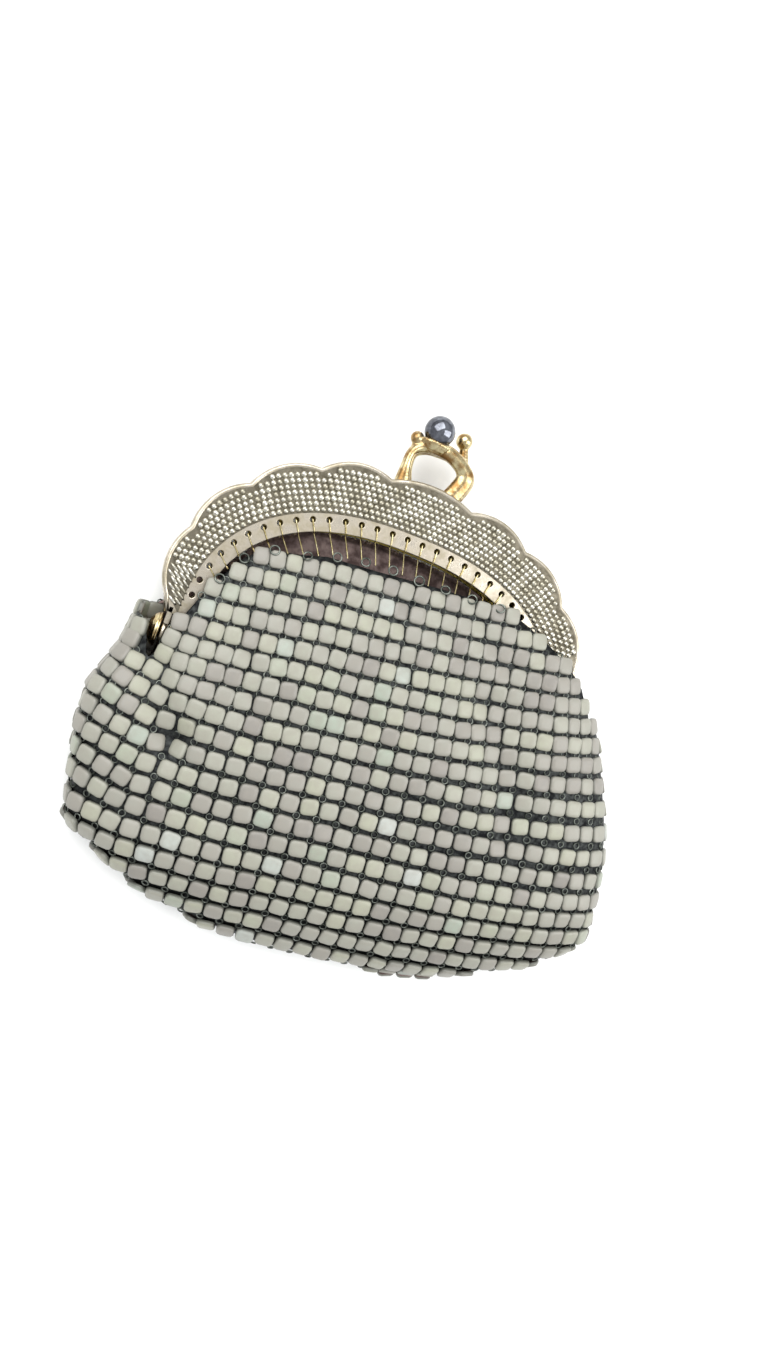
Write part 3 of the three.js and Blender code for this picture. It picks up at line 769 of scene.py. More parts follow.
# %% Rivets and ears
EAR_DROP = 3.5
EAR_INSET = 0.6
HINGE_DROP = FRAME_DROP + EAR_DROP
EAR_FACE = END_WIDTH / 2 - EAR_INSET
EAR_THICK = 0.9
EAR_RADIUS = 2.35
RIVET_SHANK = 1.6
RIVET_HEAD = 6.4
RIVET_DOME = 2.1
RIVET_TAIL = 3.0
RIVET_TAIL_THICK = 0.6
RIVET_RINGS = 4
RIVET_RING_STEPS = (0.12, 0.35, 0.65, 0.88)
RIVET_RING_SWELL = 0.16
RIVET_RING_SINK = 0.14
RIVET_EDGE = 0.15
EAR_SOFTENING = 0.12
EAR_TAB_FOOT = 1.5
EAR_TAB_TOP = 1.2
WELD = 0.001
LATHE_SIDES = 48
PIN_LEVEL = -THICKNESS / 2


def turned_piece(name, profile, sign):
    points = []
    for i in range(LATHE_SIDES):
        angle = 2 * math.pi * i / LATHE_SIDES
        for radius, reach in profile:
            points.append((sign * reach, -HINGE_DROP + radius * math.cos(angle),
                           PIN_LEVEL + radius * math.sin(angle)))
    count = len(profile)
    faces = []
    for i in range(LATHE_SIDES):
        n = (i + 1) % LATHE_SIDES
        for j in range(count - 1):
            faces.append((i * count + j, i * count + j + 1, n * count + j + 1, n * count + j))
    return outward(mesh_piece(name, points, faces), merge=WELD)


def rivet_profile():
    inner = EAR_FACE - 2 * EAR_THICK - 3 * SEAT_GAP
    seat = EAR_FACE + SEAT_GAP
    profile = [(0, inner - RIVET_TAIL_THICK), (RIVET_TAIL / 2, inner - RIVET_TAIL_THICK),
               (RIVET_TAIL / 2, inner), (RIVET_SHANK / 2, inner), (RIVET_SHANK / 2, seat),
               (RIVET_HEAD / 2 - RIVET_EDGE, seat)]
    for ring in range(RIVET_RINGS):
        for step in RIVET_RING_STEPS:
            share = ring / RIVET_RINGS + step / RIVET_RINGS
            ripple = RIVET_RING_SWELL * math.sin(math.pi * step) - RIVET_RING_SINK
            radius = RIVET_HEAD / 2 * math.sqrt(max(1 - share ** 2, 0)) + ripple
            profile.append((max(radius, 0), seat + RIVET_DOME * share))
    return profile + [(0, seat + RIVET_DOME)]


def ear_profile(face):
    bore = RIVET_SHANK / 2 + SEAT_GAP
    rounded = EAR_RADIUS - EAR_SOFTENING
    far = face - EAR_THICK
    return [(bore, face), (rounded, face), (EAR_RADIUS, face - EAR_SOFTENING),
            (EAR_RADIUS, far + EAR_SOFTENING), (rounded, far), (bore, far), (bore, face)]


def ear_tab(name, face, sign, back):
    heights = (-HINGE_DROP + EAR_TAB_FOOT, -FRAME_DROP + EAR_TAB_TOP)
    corners = [(x, y, z) for x in (face - EAR_THICK, face) for y in heights for z in (-SHEET, 0)]
    points = [(sign * x, y, -THICKNESS - z if back else z) for x, y, z in corners]
    faces = [(0, 1, 3, 2), (4, 6, 7, 5), (0, 4, 5, 1), (2, 3, 7, 6), (0, 2, 6, 4), (1, 5, 7, 3)]
    return outward(mesh_piece(name, points, faces, smooth=False), bevel=EAR_SOFTENING)


EAR_FACES = (("front", False, EAR_FACE), ("back", True, EAR_FACE - EAR_THICK - SEAT_GAP))
for side, sign in (("left", -1), ("right", 1)):
    rivet = turned_piece(side + "_rivet", rivet_profile(), sign)
    rivet.data.materials.append(cast_gold)
    dressed.append((rivet, side + "_hinge_rivet", "clasp_gold"))
    for half, back, face in EAR_FACES:
        name = f"{side}_{half}_ear"
        lug = turned_piece(name, ear_profile(face), sign)
        tab = ear_tab(name + "_tab", face, sign, back)
        for piece in (lug, tab):
            piece.data.materials.append(champagne)
            dressed.append((piece, half + "_frame", "frame_plate"))
print("pieces dressed so far", len(dressed))

# %% [markdown]
# ## Clasp
#
# Two cast bows stand on the frame, one on each half. The front one carries a cup with the
# dark ball and a small knob, the back one the other knob, and they snap past each other.
# Casting leaves no sharp joints, so each bow is built of a swept bar, a neck, a cup and a
# knob, fused by a voxel remesh finer than any detail, and then smoothed.

# %% Bows and ball
BOW_WIDTH = 9.9
BOW_HEIGHT = 7.9
BOW_LEAN = -1.0
BOW_RADIUS = 1.0
BOW_DEPTH = 2.3
BACK_BOW_SHIFT = 1.0
BACK_BOW_RISE = 0.3
BALL_DIAMETER = 5.7
BALL_OFFSET = -1.65
BALL_HEIGHT = 11.25
BALL_LIFT = 0.2
CUP_DIAMETER = 6.0
CUP_FLATNESS = 0.65
CUP_BEAD = 1.0
CUP_BEADS = 28
CUP_STEPS = ((1.0, 0.45), (0.9, 0.0), (0.75, -0.5), (0.5, -0.9))
FRONT_KNOB_DIAMETER = 2.5
FRONT_KNOB_OFFSET = -5.1
FRONT_KNOB_HEIGHT = 8.7
FRONT_NECK_PLACE = 0.3
BACK_KNOB_DIAMETER = 3.1
BACK_KNOB_OFFSET = 4.0
BACK_KNOB_HEIGHT = 12.0
BACK_NECK_PLACE = 0.74
NECK_STEPS = 10
NECK_DIAMETER = 1.6
BOW_SAMPLES = 60
VOXEL = 0.13
BOW_STOPS = [
    {"across": -0.97, "up": -0.05, "girth": 1.65},
    {"across": -1.08, "up": 0.40, "girth": 0.95},
    {"across": -1.05, "up": 0.76, "girth": 0.85},
    {"across": -0.70, "up": 0.98, "girth": 1.20},
    {"across": -0.20, "up": 1.06, "girth": 1.40},
    {"across": 0.38, "up": 1.04, "girth": 1.35},
    {"across": 0.98, "up": 0.84, "girth": 1.45},
    {"across": 1.17, "up": 0.58, "girth": 1.75},
    {"across": 0.77, "up": -0.05, "girth": 1.75},
]


def smooth_through(values, place):
    spot = place * (len(values) - 1)
    i = min(int(spot), len(values) - 2)
    t = spot - i
    a, b, c, d = (values[min(max(i + k, 0), len(values) - 1)] for k in (-1, 0, 1, 2))
    return 0.5 * (2 * b + (c - a) * t + (2 * a - 5 * b + 4 * c - d) * t ** 2
                  + (3 * b - 3 * c + d - a) * t ** 3)


def bow_line(place, shift, rise, level):
    across = smooth_through([stop["across"] for stop in BOW_STOPS], place)
    height = smooth_through([stop["up"] for stop in BOW_STOPS], place)
    return Vector((BOW_LEAN + shift + BOW_WIDTH / 2 * across, rise + BOW_HEIGHT * height, level))


def add_ball(shape, centre, diameter, fineness=4):
    spot = Matrix.Translation(to_metres(centre))
    bmesh.ops.create_icosphere(shape, subdivisions=fineness, radius=diameter / 2 * MM, matrix=spot)


def add_bead_line(shape, path, widths, depth):
    for point, width in zip(path, widths):
        spot = Matrix.Translation(to_metres(point))
        flat = Matrix.Diagonal((1, 1, depth / (2 * width), 1))
        bmesh.ops.create_icosphere(shape, subdivisions=3, radius=width * MM, matrix=spot @ flat)


def fused(name, shape, smoothing=6):
    mesh = bpy.data.meshes.new(name)
    shape.to_mesh(mesh)
    shape.free()
    carrier = link_object(name, mesh)
    remesh = carrier.modifiers.new("fuse", "REMESH")
    remesh.mode = "VOXEL"
    remesh.voxel_size = VOXEL * MM
    remesh.use_smooth_shade = True
    soften = carrier.modifiers.new("soften", "SMOOTH")
    soften.factor = 0.5
    soften.iterations = smoothing
    return made_plain(carrier)


def clasp_bow(name, shift, rise, level, knob, knob_size, neck_place, with_cup):
    shape = bmesh.new()
    places = [i / BOW_SAMPLES for i in range(BOW_SAMPLES + 1)]
    path = [bow_line(place, shift, rise, level) for place in places]
    girths = [BOW_RADIUS * smooth_through([s["girth"] for s in BOW_STOPS], p) for p in places]
    add_bead_line(shape, path, girths, BOW_DEPTH)
    foot = bow_line(neck_place, shift, rise, level)
    neck = [foot.lerp(knob, i / NECK_STEPS) for i in range(NECK_STEPS + 1)]
    slimming = (NECK_DIAMETER / 2 - BOW_RADIUS) / NECK_STEPS
    widths = [BOW_RADIUS + slimming * i for i in range(NECK_STEPS + 1)]
    add_bead_line(shape, neck, widths, NECK_DIAMETER)
    add_ball(shape, knob, knob_size)
    if with_cup:
        seat = Vector((BOW_LEAN + BALL_OFFSET, BALL_HEIGHT - BALL_DIAMETER / 2, level + BALL_LIFT))
        reach = (CUP_DIAMETER - CUP_BEAD) / 2
        for i in range(CUP_BEADS):
            angle = 2 * math.pi * i / CUP_BEADS
            lip = Vector((math.cos(angle), 0, math.sin(angle) * CUP_FLATNESS))
            for share, drop in CUP_STEPS:
                add_ball(shape, seat + lip * reach * share + Vector((0, drop, 0)), CUP_BEAD, 2)
    return fused(name, shape)


front_level = -RIM_DEPTH / 2
back_level = -THICKNESS + RIM_DEPTH / 2
front_knob = Vector((BOW_LEAN + FRONT_KNOB_OFFSET, FRONT_KNOB_HEIGHT, front_level))
back_knob = Vector((BOW_LEAN + BACK_KNOB_OFFSET, BACK_KNOB_HEIGHT, back_level))
front_bow = clasp_bow("front_bow", 0, 0, front_level, front_knob,
                      FRONT_KNOB_DIAMETER, FRONT_NECK_PLACE, True)
back_bow = clasp_bow("back_bow", BACK_BOW_SHIFT, BACK_BOW_RISE, back_level, back_knob,
                     BACK_KNOB_DIAMETER, BACK_NECK_PLACE, False)

ball_shape = bmesh.new()
add_ball(ball_shape, (BOW_LEAN + BALL_OFFSET, BALL_HEIGHT, front_level + BALL_LIFT), BALL_DIAMETER)
ball_mesh = bpy.data.meshes.new("dark_ball")
ball_shape.to_mesh(ball_mesh)
ball_shape.free()
dark_ball = shade(link_object("dark_ball", ball_mesh))
dark_ball.data.materials.append(dark_silver)
for bow in (front_bow, back_bow):
    bow.data.materials.append(cast_gold)
    print(bow.name, count_triangles(bow))

# %% [markdown]
# ## The shape of the bag
#
# The bag is a soft tube of mesh that sags over what it lies on: flat below, swelling above,
# wider at its foot, with shallow folds. Its section is a squarish oval whose reach and
# height come from one small table, a row for each level. The plates, the rings and the net
# behind them all ask this one function where the wall is, so they stay together.

# %% The bag's wall
BAG_LENGTH = 74.5
BAG_TOP = -17.0
RIVET_REACH = EAR_FACE + SEAT_GAP + RIVET_DOME
LEFT_SWELL = 6.6
RIGHT_SWELL = 23.1
LEFT_REACH = RIVET_REACH + LEFT_SWELL
RIGHT_REACH = RIVET_REACH + RIGHT_SWELL
EDGE_LEVEL = 4.0
FRONT_BULGE = 11.0
BACK_BULGE = 6.6
BACK_REST = 6.0
FRONT_SQUARENESS = 3.4
BACK_SQUARENESS = 4.0
ROW_TILT = math.tan(math.radians(6))
ROW_SAG = 2.9
BAG_SECTIONS = {
    "down": [-0.12, 0.0, 0.09, 0.165, 0.24, 0.325, 0.44, 0.54, 0.64, 0.765, 0.81, 0.88, 0.94, 0.97,
             0.99, 1.0],
    "left": [0.885, 0.895, 0.905, 0.915, 0.925, 0.94, 1.0, 0.998, 0.966, 0.925, 0.82, 0.62, 0.33,
             0.08, -0.25, -0.48],
    "right": [0.685, 0.692, 0.698, 0.704, 0.742, 0.797, 0.862, 0.914, 0.954, 0.978, 0.989, 0.995,
              0.88, 0.76, 0.65, 0.55],
    "front": [0.50, 0.62, 0.75, 0.84, 0.89, 0.94, 0.98, 1.0, 1.0, 0.95, 0.87, 0.68, 0.46, 0.33,
              0.18, 0.08],
    "back": [0.90, 0.95, 1.0, 1.0, 1.0, 1.0, 1.0, 1.0, 1.0, 1.0, 1.0, 0.95, 0.80, 0.60, 0.35, 0.15],
}
FRONT_LIP = [(-1.17, 0.93), (-1.09, 0.96), (-1.02, 1.12), (-0.965, 1.05), (-0.945, 0.92),
             (-0.87, 0.74), (-0.76, 0.56), (-0.672, 0.488), (-0.51, 0.46), (-0.39, 0.425),
             (-0.13, 0.405), (0.18, 0.374), (0.56, 0.35), (0.68, 0.385), (0.81, 0.43),
             (0.97, 0.50), (1.06, 0.555), (1.18, 0.71)]
BACK_LIP = [(-1.17, 0.93), (-1.09, 0.91), (-1.02, 0.85), (-0.85, 0.66), (-0.672, 0.44),
            (-0.45, 0.31), (-0.10, 0.265), (0.30, 0.28), (0.56, 0.33), (0.81, 0.43),
            (1.06, 0.555), (1.18, 0.71)]
FOLDS = [
    {"from": (-0.98, 0.37), "to": (-0.79, 0.53), "depth": 0.15, "width": 0.07},
    {"from": (-0.79, 0.53), "to": (-0.82, 0.72), "depth": 0.10, "width": 0.07},
    {"from": (-0.64, 0.19), "to": (-0.45, 0.44), "depth": 0.05, "width": 0.04},
    {"from": (0.05, 0.05), "to": (0.16, 0.20), "depth": 0.05, "width": 0.04},
    {"from": (0.62, 0.19), "to": (0.95, 0.49), "depth": 0.11, "width": 0.09},
    {"from": (0.46, 0.03), "to": (0.64, 0.09), "depth": 0.07, "width": 0.05},
    {"from": (0.88, 0.05), "to": (1.06, 0.20), "depth": -0.10, "width": 0.11},
    {"from": (-0.98, 0.33), "to": (-0.80, 0.08), "depth": 0.11, "width": 0.11},
]


def section(key, down):
    return np.interp(down, BAG_SECTIONS["down"], BAG_SECTIONS[key])


def lip_height(lip, x):
    across, drop = zip(*lip)
    return -HINGE_DROP * np.interp(x / (END_WIDTH / 2), across, drop)


def fold_depth(x, y):
    depth = np.zeros_like(x)
    for fold in FOLDS:
        a = np.array([fold["from"][0] * END_WIDTH / 2, BAG_TOP - fold["from"][1] * BAG_LENGTH])
        b = np.array([fold["to"][0] * END_WIDTH / 2, BAG_TOP - fold["to"][1] * BAG_LENGTH])
        along = b - a
        share = ((x - a[0]) * along[0] + (y - a[1]) * along[1]) / (along @ along)
        share = np.clip(share, 0, 1)
        off = np.hypot(x - a[0] - share * along[0], y - a[1] - share * along[1])
        depth += fold["depth"] * FRONT_BULGE * np.exp(-(off / (fold["width"] * LEFT_REACH)) ** 2)
    return depth


def wall_points(turns, down, skin):
    sunk = down + skin / BAG_LENGTH
    left = -LEFT_REACH * section("left", sunk) + skin
    right_end = RIGHT_REACH * section("right", sunk) - skin
    angle = 2 * math.pi * turns
    front = np.sin(angle) >= 0
    squareness = np.where(front, FRONT_SQUARENESS, BACK_SQUARENESS)
    across = -np.cos(angle)
    swell = np.maximum(1 - np.abs(across) ** squareness, 0) ** (1 / squareness)
    x = (left + right_end) / 2 + across * (right_end - left) / 2
    y = BAG_TOP - BAG_LENGTH * down + x * ROW_TILT + ROW_SAG * (x / LEFT_REACH) ** 2
    bulge = np.maximum(FRONT_BULGE * section("front", sunk) - skin, 0)
    rise = swell * (bulge - fold_depth(x, y))
    rest = np.minimum(BACK_BULGE * section("back", sunk) * swell, BACK_REST) - skin * swell
    z = -EDGE_LEVEL + np.where(front, rise, -np.maximum(rest, 0))
    return np.stack([x, y, z], axis=-1)


print("bag sections", len(BAG_SECTIONS["down"]), "folds", len(FOLDS))

# %% [markdown]
# ## Rows of plates
#
# The mesh is woven in rounds: about twenty rows of some sixty plates, each row a closed ring
# round the bag. The rows are not level. They droop at the left, rise to the hinge, and
# spread where the bag is wide, so each row is laid as a line on the wall, measured along its
# length, and shared out in equal steps from one column that runs down the middle. The gusset
# at the left is folded, so there the plates of the back wall show an enamelled face as well.

# %% Rows measured on the wall
ROUND_COUNT = 62
ROW_COUNT = 20
FIRST_ROW = 0.012
ROW_STEP = 0.049
ROW_STRETCH = 0.00015
MIDDLE_COLUMN = 1.1
COLUMN_LEAN = 0.33
FEWEST_IN_ROW = 3
ROW_PASSES = 4
SAMPLES = 1441
SHOULDER_START = -10
SHOULDER_DROOP = 0.0012
GUSSET_START = -33
GUSSET_RISE = 0.0024
GUSSET_FADE = 0.6
CORNER_DROOP = 0.0011
PLATE_SINK = 0.25
LEVELLING = 1.2


def eased(value, start, end):
    share = np.clip((value - start) / (end - start), 0, 1)
    return share * share * (3 - 2 * share)


def row_drift(x, level):
    drift = SHOULDER_DROOP * np.maximum(SHOULDER_START - x, 0) * (1 - eased(level, 0.15, 0.45))
    kept = 1 - GUSSET_FADE * eased(level, 0.68, 0.76)
    drift -= GUSSET_RISE * np.maximum(GUSSET_START - x, 0) * eased(level, 0.2, 0.35) * kept
    return drift + CORNER_DROOP * np.maximum(x, 0) * eased(level, 0.36, 0.68)


def row_level(row):
    return FIRST_ROW + ROW_STEP * row + ROW_STRETCH * row * abs(row)


def row_line(row):
    turns = np.linspace(0, 1, SAMPLES)
    level = row_level(row)
    down = np.full(SAMPLES, level)
    for _ in range(ROW_PASSES):
        points = wall_points(turns, down, 0.0)
        down = np.minimum(level + row_drift(points[:, 0], level), 1.0)
    return turns, down, wall_points(turns, down, 0.0)


def row_pitch(row):
    lines = [row_line(other)[2] for other in range(int(row) + 1)]
    longest = max(np.linalg.norm(np.diff(line, axis=0), axis=1).sum() for line in lines)
    return longest / ROUND_COUNT


def row_frames(row, offset):
    turns, down, points = row_line(row)
    steps = np.concatenate([[0], np.cumsum(np.linalg.norm(np.diff(points, axis=0), axis=1))])
    count = max(int(round(steps[-1] / row_pitch(row))), FEWEST_IN_ROW)
    pitch = steps[-1] / count
    front = turns <= 0.5
    start = np.interp(MIDDLE_COLUMN + COLUMN_LEAN * row, points[front, 0], steps[front])
    places = (start + (np.arange(count) + offset) * pitch) % steps[-1]
    turn_at = np.interp(places, steps, turns)
    down_at = np.interp(places, steps, down)

    def place_at(wanted_steps):
        return np.stack([np.interp(wanted_steps, steps, points[:, i]) for i in range(3)], axis=-1)

    centre = place_at(places)
    step = LEVELLING / BAG_LENGTH
    below = wall_points(turn_at, np.minimum(down_at + step, 1.0), 0.0)
    above = wall_points(turn_at, down_at - step, 0.0)
    ahead = (places + LEVELLING) % steps[-1]
    behind = (places - LEVELLING) % steps[-1]
    along = place_at(ahead) - place_at(behind)
    along /= np.linalg.norm(along, axis=1)[:, None]
    facing = np.cross(along, above - below)
    facing /= np.linalg.norm(facing, axis=1)[:, None] + 1e-9
    return centre, facing, along, turn_at, pitch


def above_lip(point, turn_place, room):
    lip = FRONT_LIP if turn_place < 0.5 else BACK_LIP
    return point[1] > lip_height(lip, point[0]) - room


PLATE_WIDTH = 3.45
PLATE_WIDEST = 3.4
PLATE_PLAY = 0.03
PLATE_LENGTH = 3.2
LIP_ROOM = 0.6
GUSSET_SIDE = -36.5
GUSSET_FOOT = -48.0
GUSSET_LIFT = 1.7
tints = random.Random(7)
plate_spots = []
for row in range(ROW_COUNT):
    centre, facing, along, turn_at, pitch = row_frames(row, 0.0)
    wide = min(PLATE_WIDEST, pitch - PLATE_PLAY)
    for k in range(len(centre)):
        if above_lip(centre[k], turn_at[k], LIP_ROOM):
            continue
        size = (wide / PLATE_WIDTH, 1, 1)
        place = centre[k] - facing[k] * PLATE_SINK
        plate_spots.append({"place": place, "facing": facing[k], "rowward": along[k],
                            "size": size, "tint": tints.random()})
        if turn_at[k] > 0.5 and centre[k][0] < GUSSET_SIDE and centre[k][1] > GUSSET_FOOT:
            place = centre[k] - facing[k] * GUSSET_LIFT
            plate_spots.append({"place": place, "facing": -facing[k], "rowward": -along[k],
                                "size": size, "tint": tints.random()})
print("plates", len(plate_spots))

# %% [markdown]
# ## The plates
#
# A plate is a small square pillow of sheet metal, its edges folded down to walls, with round
# corners. It is one of over a thousand, so it has only a few dozen faces: four rings of
# points and a middle. Smooth shading makes the pillow, and the walls carry their own number
# so that the colour can darken there, a painted shade in the gaps between the plates. The
# underside is bare.

# %% One plate, laid along all rows
CORNER_SHARE = 0.22
PLATE_CROWN = 0.05
PLATE_RINGS = [
    {"reach": 0.50, "corner": 0.6, "level": 0.03, "wall": 0.0},
    {"reach": 0.86, "corner": 0.9, "level": -0.04, "wall": 0.05},
    {"reach": 0.97, "corner": 1.0, "level": -0.24, "wall": 0.5},
    {"reach": 1.00, "corner": 1.0, "level": -0.95, "wall": 1.0},
]


def plate_ring(half_wide, half_long, corner, level):
    points = []
    for quarter in range(4):
        sign_x = (1, -1, -1, 1)[quarter]
        sign_y = (1, 1, -1, -1)[quarter]
        for step in range(3):
            angle = math.pi / 2 * (quarter + step / 2)
            points.append((sign_x * (half_wide - corner) + corner * math.cos(angle),
                           sign_y * (half_long - corner) + corner * math.sin(angle), level))
    return points


def plate_shape():
    rings = [plate_ring(PLATE_WIDTH / 2 * ring["reach"], PLATE_LENGTH / 2 * ring["reach"],
                        CORNER_SHARE * PLATE_WIDTH * ring["corner"], ring["level"])
             for ring in PLATE_RINGS]
    points = [(0, 0, PLATE_CROWN)] + [point for ring in rings for point in ring]
    sides = len(rings[0])
    faces = dome_faces(len(rings), sides)
    last = len(points) - sides
    faces.append(tuple(last + i for i in reversed(range(sides))))
    plate = loose_shape("plate", points, faces)
    walls = [0.0] + [ring["wall"] for ring in PLATE_RINGS for _ in range(sides)]
    plate.data.attributes.new("wall", "FLOAT", "POINT").data.foreach_set("value", walls)
    under = [False] * (len(faces) - 1) + [True]
    plate.data.attributes.new("underside", "BOOLEAN", "FACE").data.foreach_set("value", under)
    return plate


plates = laid_piece("enamel_plates", plate_spots, plate_shape(), enamel, plate_back,
                    tilt=math.radians(6.0), spread=0.02, seed=5)
print("plates", len(plate_spots), "triangles", count_triangles(plates))

# %% [markdown]
# ## Rings and net
#
# Where four plates meet, a small steel ring holds their prongs. The rings show as dark loops
# in the gaps between the rows. Behind them a thin dark net stands for the tangle of prongs
# and rings that no eye can part, so that no light comes through the gaps; its near-black
# colour is also painted shade in the gaps. It is the bag's own wall drawn again, a
# millimetre inside, with a little thickness.

# %% Rings in the gaps and the net behind
RING_DIAMETER = 1.5
RING_WIRE = 0.32
RING_DEPTH = 0.85
NET_SKIN = 1.0
NET_THICK = 0.16
NET_FOOT = 0.995
NET_LIP_ROOM = 0.4
NET_ROWS = 60
NET_COLUMNS = 180
LIP_SEARCH_END = 0.5
LIP_SEARCH_STEPS = 24
RING_LIP_ROOM = -0.3


def ring_shape(name, diameter, wire, around=10, across=4):
    points = []
    for i in range(around):
        angle = 2 * math.pi * i / around
        for j in range(across):
            tube = 2 * math.pi * j / across
            reach = diameter / 2 - wire / 2 + wire / 2 * math.cos(tube)
            points.append((reach * math.cos(angle), reach * math.sin(angle),
                           wire / 2 * math.sin(tube)))
    return loose_shape(name, points, tube_faces(around, across, True))


ring_spots = []
for row in range(ROW_COUNT - 1):
    centre, facing, along, turn_at, pitch = row_frames(row + 0.5, 0.5)
    for k in range(len(centre)):
        if above_lip(centre[k], turn_at[k], RING_LIP_ROOM):
            continue
        ring_spots.append({"place": centre[k] - facing[k] * RING_DEPTH, "facing": facing[k],
                           "rowward": along[k], "size": (1, 1, 1)})
rings = laid_piece("link_rings", ring_spots, ring_shape("ring", RING_DIAMETER, RING_WIRE),
                   link_steel, link_steel, tilt=math.radians(6), spread=0.06, seed=21)


def wall_top(turn_place):
    high_end, low_end = BAG_SECTIONS["down"][0], LIP_SEARCH_END
    for _ in range(LIP_SEARCH_STEPS):
        middle = (high_end + low_end) / 2
        point = wall_points(np.array([turn_place]), np.array([middle]), 0.0)[0]
        if above_lip(point, turn_place, NET_LIP_ROOM):
            high_end = middle
        else:
            low_end = middle
    return low_end


def net_piece():
    tops = np.array([wall_top(j / NET_COLUMNS) for j in range(NET_COLUMNS)])
    points = []
    for skin in (NET_SKIN, NET_SKIN + NET_THICK):
        for i in range(NET_ROWS + 1):
            down = tops + (NET_FOOT - tops) * i / NET_ROWS
            points += list(wall_points(np.arange(NET_COLUMNS) / NET_COLUMNS, down, skin))
    sheet = (NET_ROWS + 1) * NET_COLUMNS
    faces = []
    inner_faces = []
    for j in range(NET_COLUMNS):
        k = (j + 1) % NET_COLUMNS
        for i in range(NET_ROWS):
            a, b = i * NET_COLUMNS + j, i * NET_COLUMNS + k
            c, d = a + NET_COLUMNS, b + NET_COLUMNS
            faces.append((a, c, d, b))
            inner_faces.append(len(faces))
            faces.append((a + sheet, b + sheet, d + sheet, c + sheet))
        faces.append((j, k, k + sheet, j + sheet))
        last = NET_ROWS * NET_COLUMNS
        faces.append((last + j, last + j + sheet, last + k + sheet, last + k))
    piece = mesh_piece("steel_net", points, faces)
    # The net's outer side is near black: painted shade in the gaps between the plates.
    piece.data.materials.append(dark_net_and_painted_gap_shade)
    piece.data.materials.append(plate_back)
    for i in inner_faces:
        piece.data.polygons[i].material_index = 1
    return piece


net = net_piece()
print("rings", len(ring_spots), count_triangles(rings), "net", count_triangles(net))

# %% [markdown]
# ## Sewing wires
#
# A thin gilt wire runs from each hole of the band down to the edge of the mesh, and small
# rings hang along that edge. Each wire is a short bent line: up out of the hole, over the
# band's lower edge, and down to the wall. A second small tree sweeps a round section along
# all the lines at once.

# %% Wires and lip rings
WIRE_DIAMETER = 0.26
WIRE_REACH = 6.5
WIRE_LEAST = 2.2
WIRE_STEP = 0.25
WIRE_AIM = 0.55
WIRE_FALL = Vector((0.1, -0.45))
WIRE_CLEAR = 0.16
WIRE_INSIDE = 0.5
BAND_REACH = 2.1
BACK_END_LIFT = 0.3
BEND_REACH = 0.3
HOLE_BEND = 0.1
WALL_PROBES = 200
WIRE_SINK = 0.5
LIP_RING_DIAMETER = 2.0
LIP_RING_WIRE = 0.34
LIP_RING_HANG = Vector((0.7, 0.2, 0.2))
LIP_RING_FACING = (-0.15, 0.35, 0.93)


def wire_tree():
    tree, given = new_tree("draw_wires", {
        "Lines": "Geometry", "Diameter": "Float", "Finish": "Material"}, "Wires")
    lines = add_node(tree, "GeometryNodeMeshToCurve", {"Mesh": given["Lines"]})
    radius = add_node(tree, "ShaderNodeMath", {0: given["Diameter"], 1: 0.5}, operation="MULTIPLY")
    round_section = add_node(tree, "GeometryNodeCurvePrimitiveCircle", {
        "Resolution": 8, "Radius": radius.outputs[0]})
    swept = add_node(tree, "GeometryNodeCurveToMesh", {
        "Curve": lines.outputs["Curve"], "Profile Curve": round_section.outputs["Curve"],
        "Fill Caps": True})
    real = add_node(tree, "GeometryNodeRealizeInstances", {"Geometry": swept.outputs["Mesh"]})
    finished = add_node(tree, "GeometryNodeSetMaterial", {
        "Geometry": real.outputs["Geometry"], "Material": given["Finish"]})
    add_node(tree, "NodeGroupOutput", {"Wires": finished.outputs["Geometry"]})
    return tree


def wall_height(x, y, back):
    down = (BAG_TOP - y + x * ROW_TILT + ROW_SAG * (x / LEFT_REACH) ** 2) / BAG_LENGTH
    turns = np.linspace(0.5, 1.0, WALL_PROBES) if back else np.linspace(0.0, 0.5, WALL_PROBES)
    points = wall_points(turns, np.full(WALL_PROBES, down), WIRE_SINK)
    order = np.argsort(points[:, 0])
    return float(np.interp(x, points[order, 0], points[order, 2]))


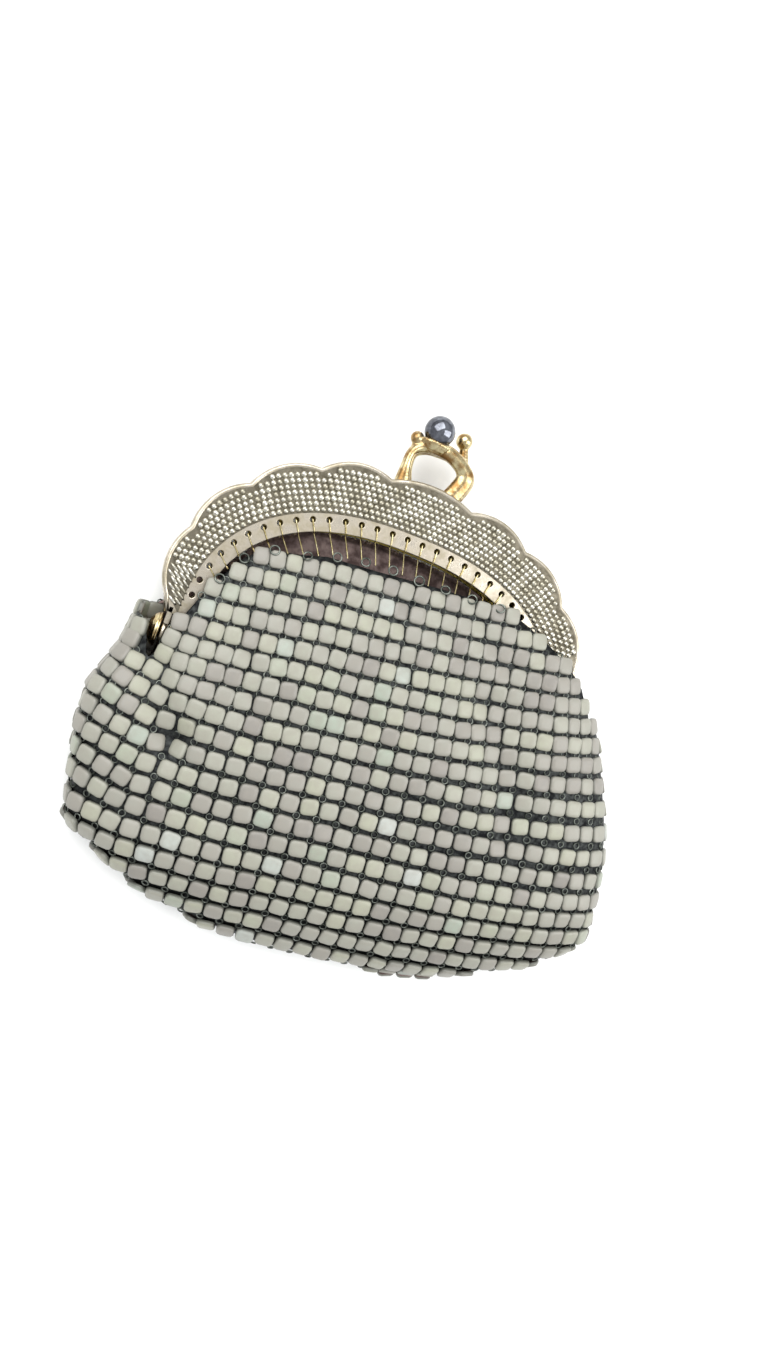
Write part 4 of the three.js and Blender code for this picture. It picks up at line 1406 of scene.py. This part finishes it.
def wire_lines(back):
    lines = []
    lip = BACK_LIP if back else FRONT_LIP
    for hole in HOLES:
        x = -hole.x if back else hole.x
        inward = Vector((-x, -FRAME_DROP - hole.y)).normalized() * WIRE_AIM + WIRE_FALL
        inward.normalize()
        end = Vector((x, hole.y))
        length = 0.0
        while end.y > lip_height(lip, end.x) - WIRE_INSIDE and length < WIRE_REACH:
            end += inward * WIRE_STEP
            length += WIRE_STEP
        if length < WIRE_LEAST:
            continue
        start = Vector((x, hole.y))
        edge = start + inward * BAND_REACH
        face = -THICKNESS - WIRE_CLEAR if back else WIRE_CLEAR
        inner = -THICKNESS + WIRE_INSIDE if back else -WIRE_INSIDE
        end_level = wall_height(end.x, end.y, back) + (BACK_END_LIFT if back else 0.0)
        middle = edge.lerp(end, 0.5)
        lines.append([
            (start.x, start.y, inner), (start.x, start.y - HOLE_BEND, face),
            (edge.x, edge.y, face),
            (edge.x + inward.x * BEND_REACH, edge.y + inward.y * BEND_REACH, inner),
            (middle.x, middle.y, (inner + end_level) / 2), (end.x, end.y, end_level)])
    return lines


def smoothed(line, steps=5):
    points = []
    for i in range((len(line) - 1) * steps + 1):
        place = i / ((len(line) - 1) * steps)
        points.append(tuple(smooth_through([p[axis] for p in line], place) for axis in range(3)))
    return points


def wires_piece(name, lines):
    points = []
    edges = []
    for line in lines:
        first = len(points)
        points += smoothed(line)
        edges += [(i, i + 1) for i in range(first, len(points) - 1)]
    carrier = mesh_piece(name, points, [], edges=edges)
    modifier = carrier.modifiers.new("draw", "NODES")
    modifier.node_group = WIRING
    set_inputs(modifier, {"Diameter": WIRE_DIAMETER * MM, "Finish": wire_gold})
    return shade(made_plain(carrier))


WIRING = wire_tree()
front_lines = wire_lines(False)
front_wires = wires_piece("front_sewing_wires", front_lines)
back_wires = wires_piece("back_sewing_wires", wire_lines(True))

lip_spots = [{"place": Vector(line[-1]) + LIP_RING_HANG, "facing": LIP_RING_FACING,
              "rowward": (1, 0, 0), "size": (1, 1, 1)} for line in front_lines[::2]]
lip_ring = ring_shape("lip_ring", LIP_RING_DIAMETER, LIP_RING_WIRE, 16, 6)
lip_rings = laid_piece("lip_rings", lip_spots, lip_ring, link_steel, link_steel,
                       tilt=math.radians(14), spread=0.08, seed=31)
print("wires", len(front_lines), "lip rings", len(lip_spots))

# %% [markdown]
# ## Riding on the body
#
# Every piece rides on the purse's one body, and the solid that each dressed piece stands for
# is hidden.

# %% Ride and replace
dressed += [(front_bow, "front_clasp_bow", "clasp_gold"), (back_bow, "back_clasp_bow", "clasp_gold"),
            (dark_ball, "clasp_ball", "ball_silver"), (plates, "mesh_bag", "mesh_enamel"),
            (rings, "mesh_bag", "mesh_enamel"), (net, "mesh_bag", "mesh_enamel")]
for piece, node_name, slot_name in dressed:
    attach(piece, "root")
    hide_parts(node_name)
for piece in (front_wires, back_wires, lip_rings):
    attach(piece, "root")
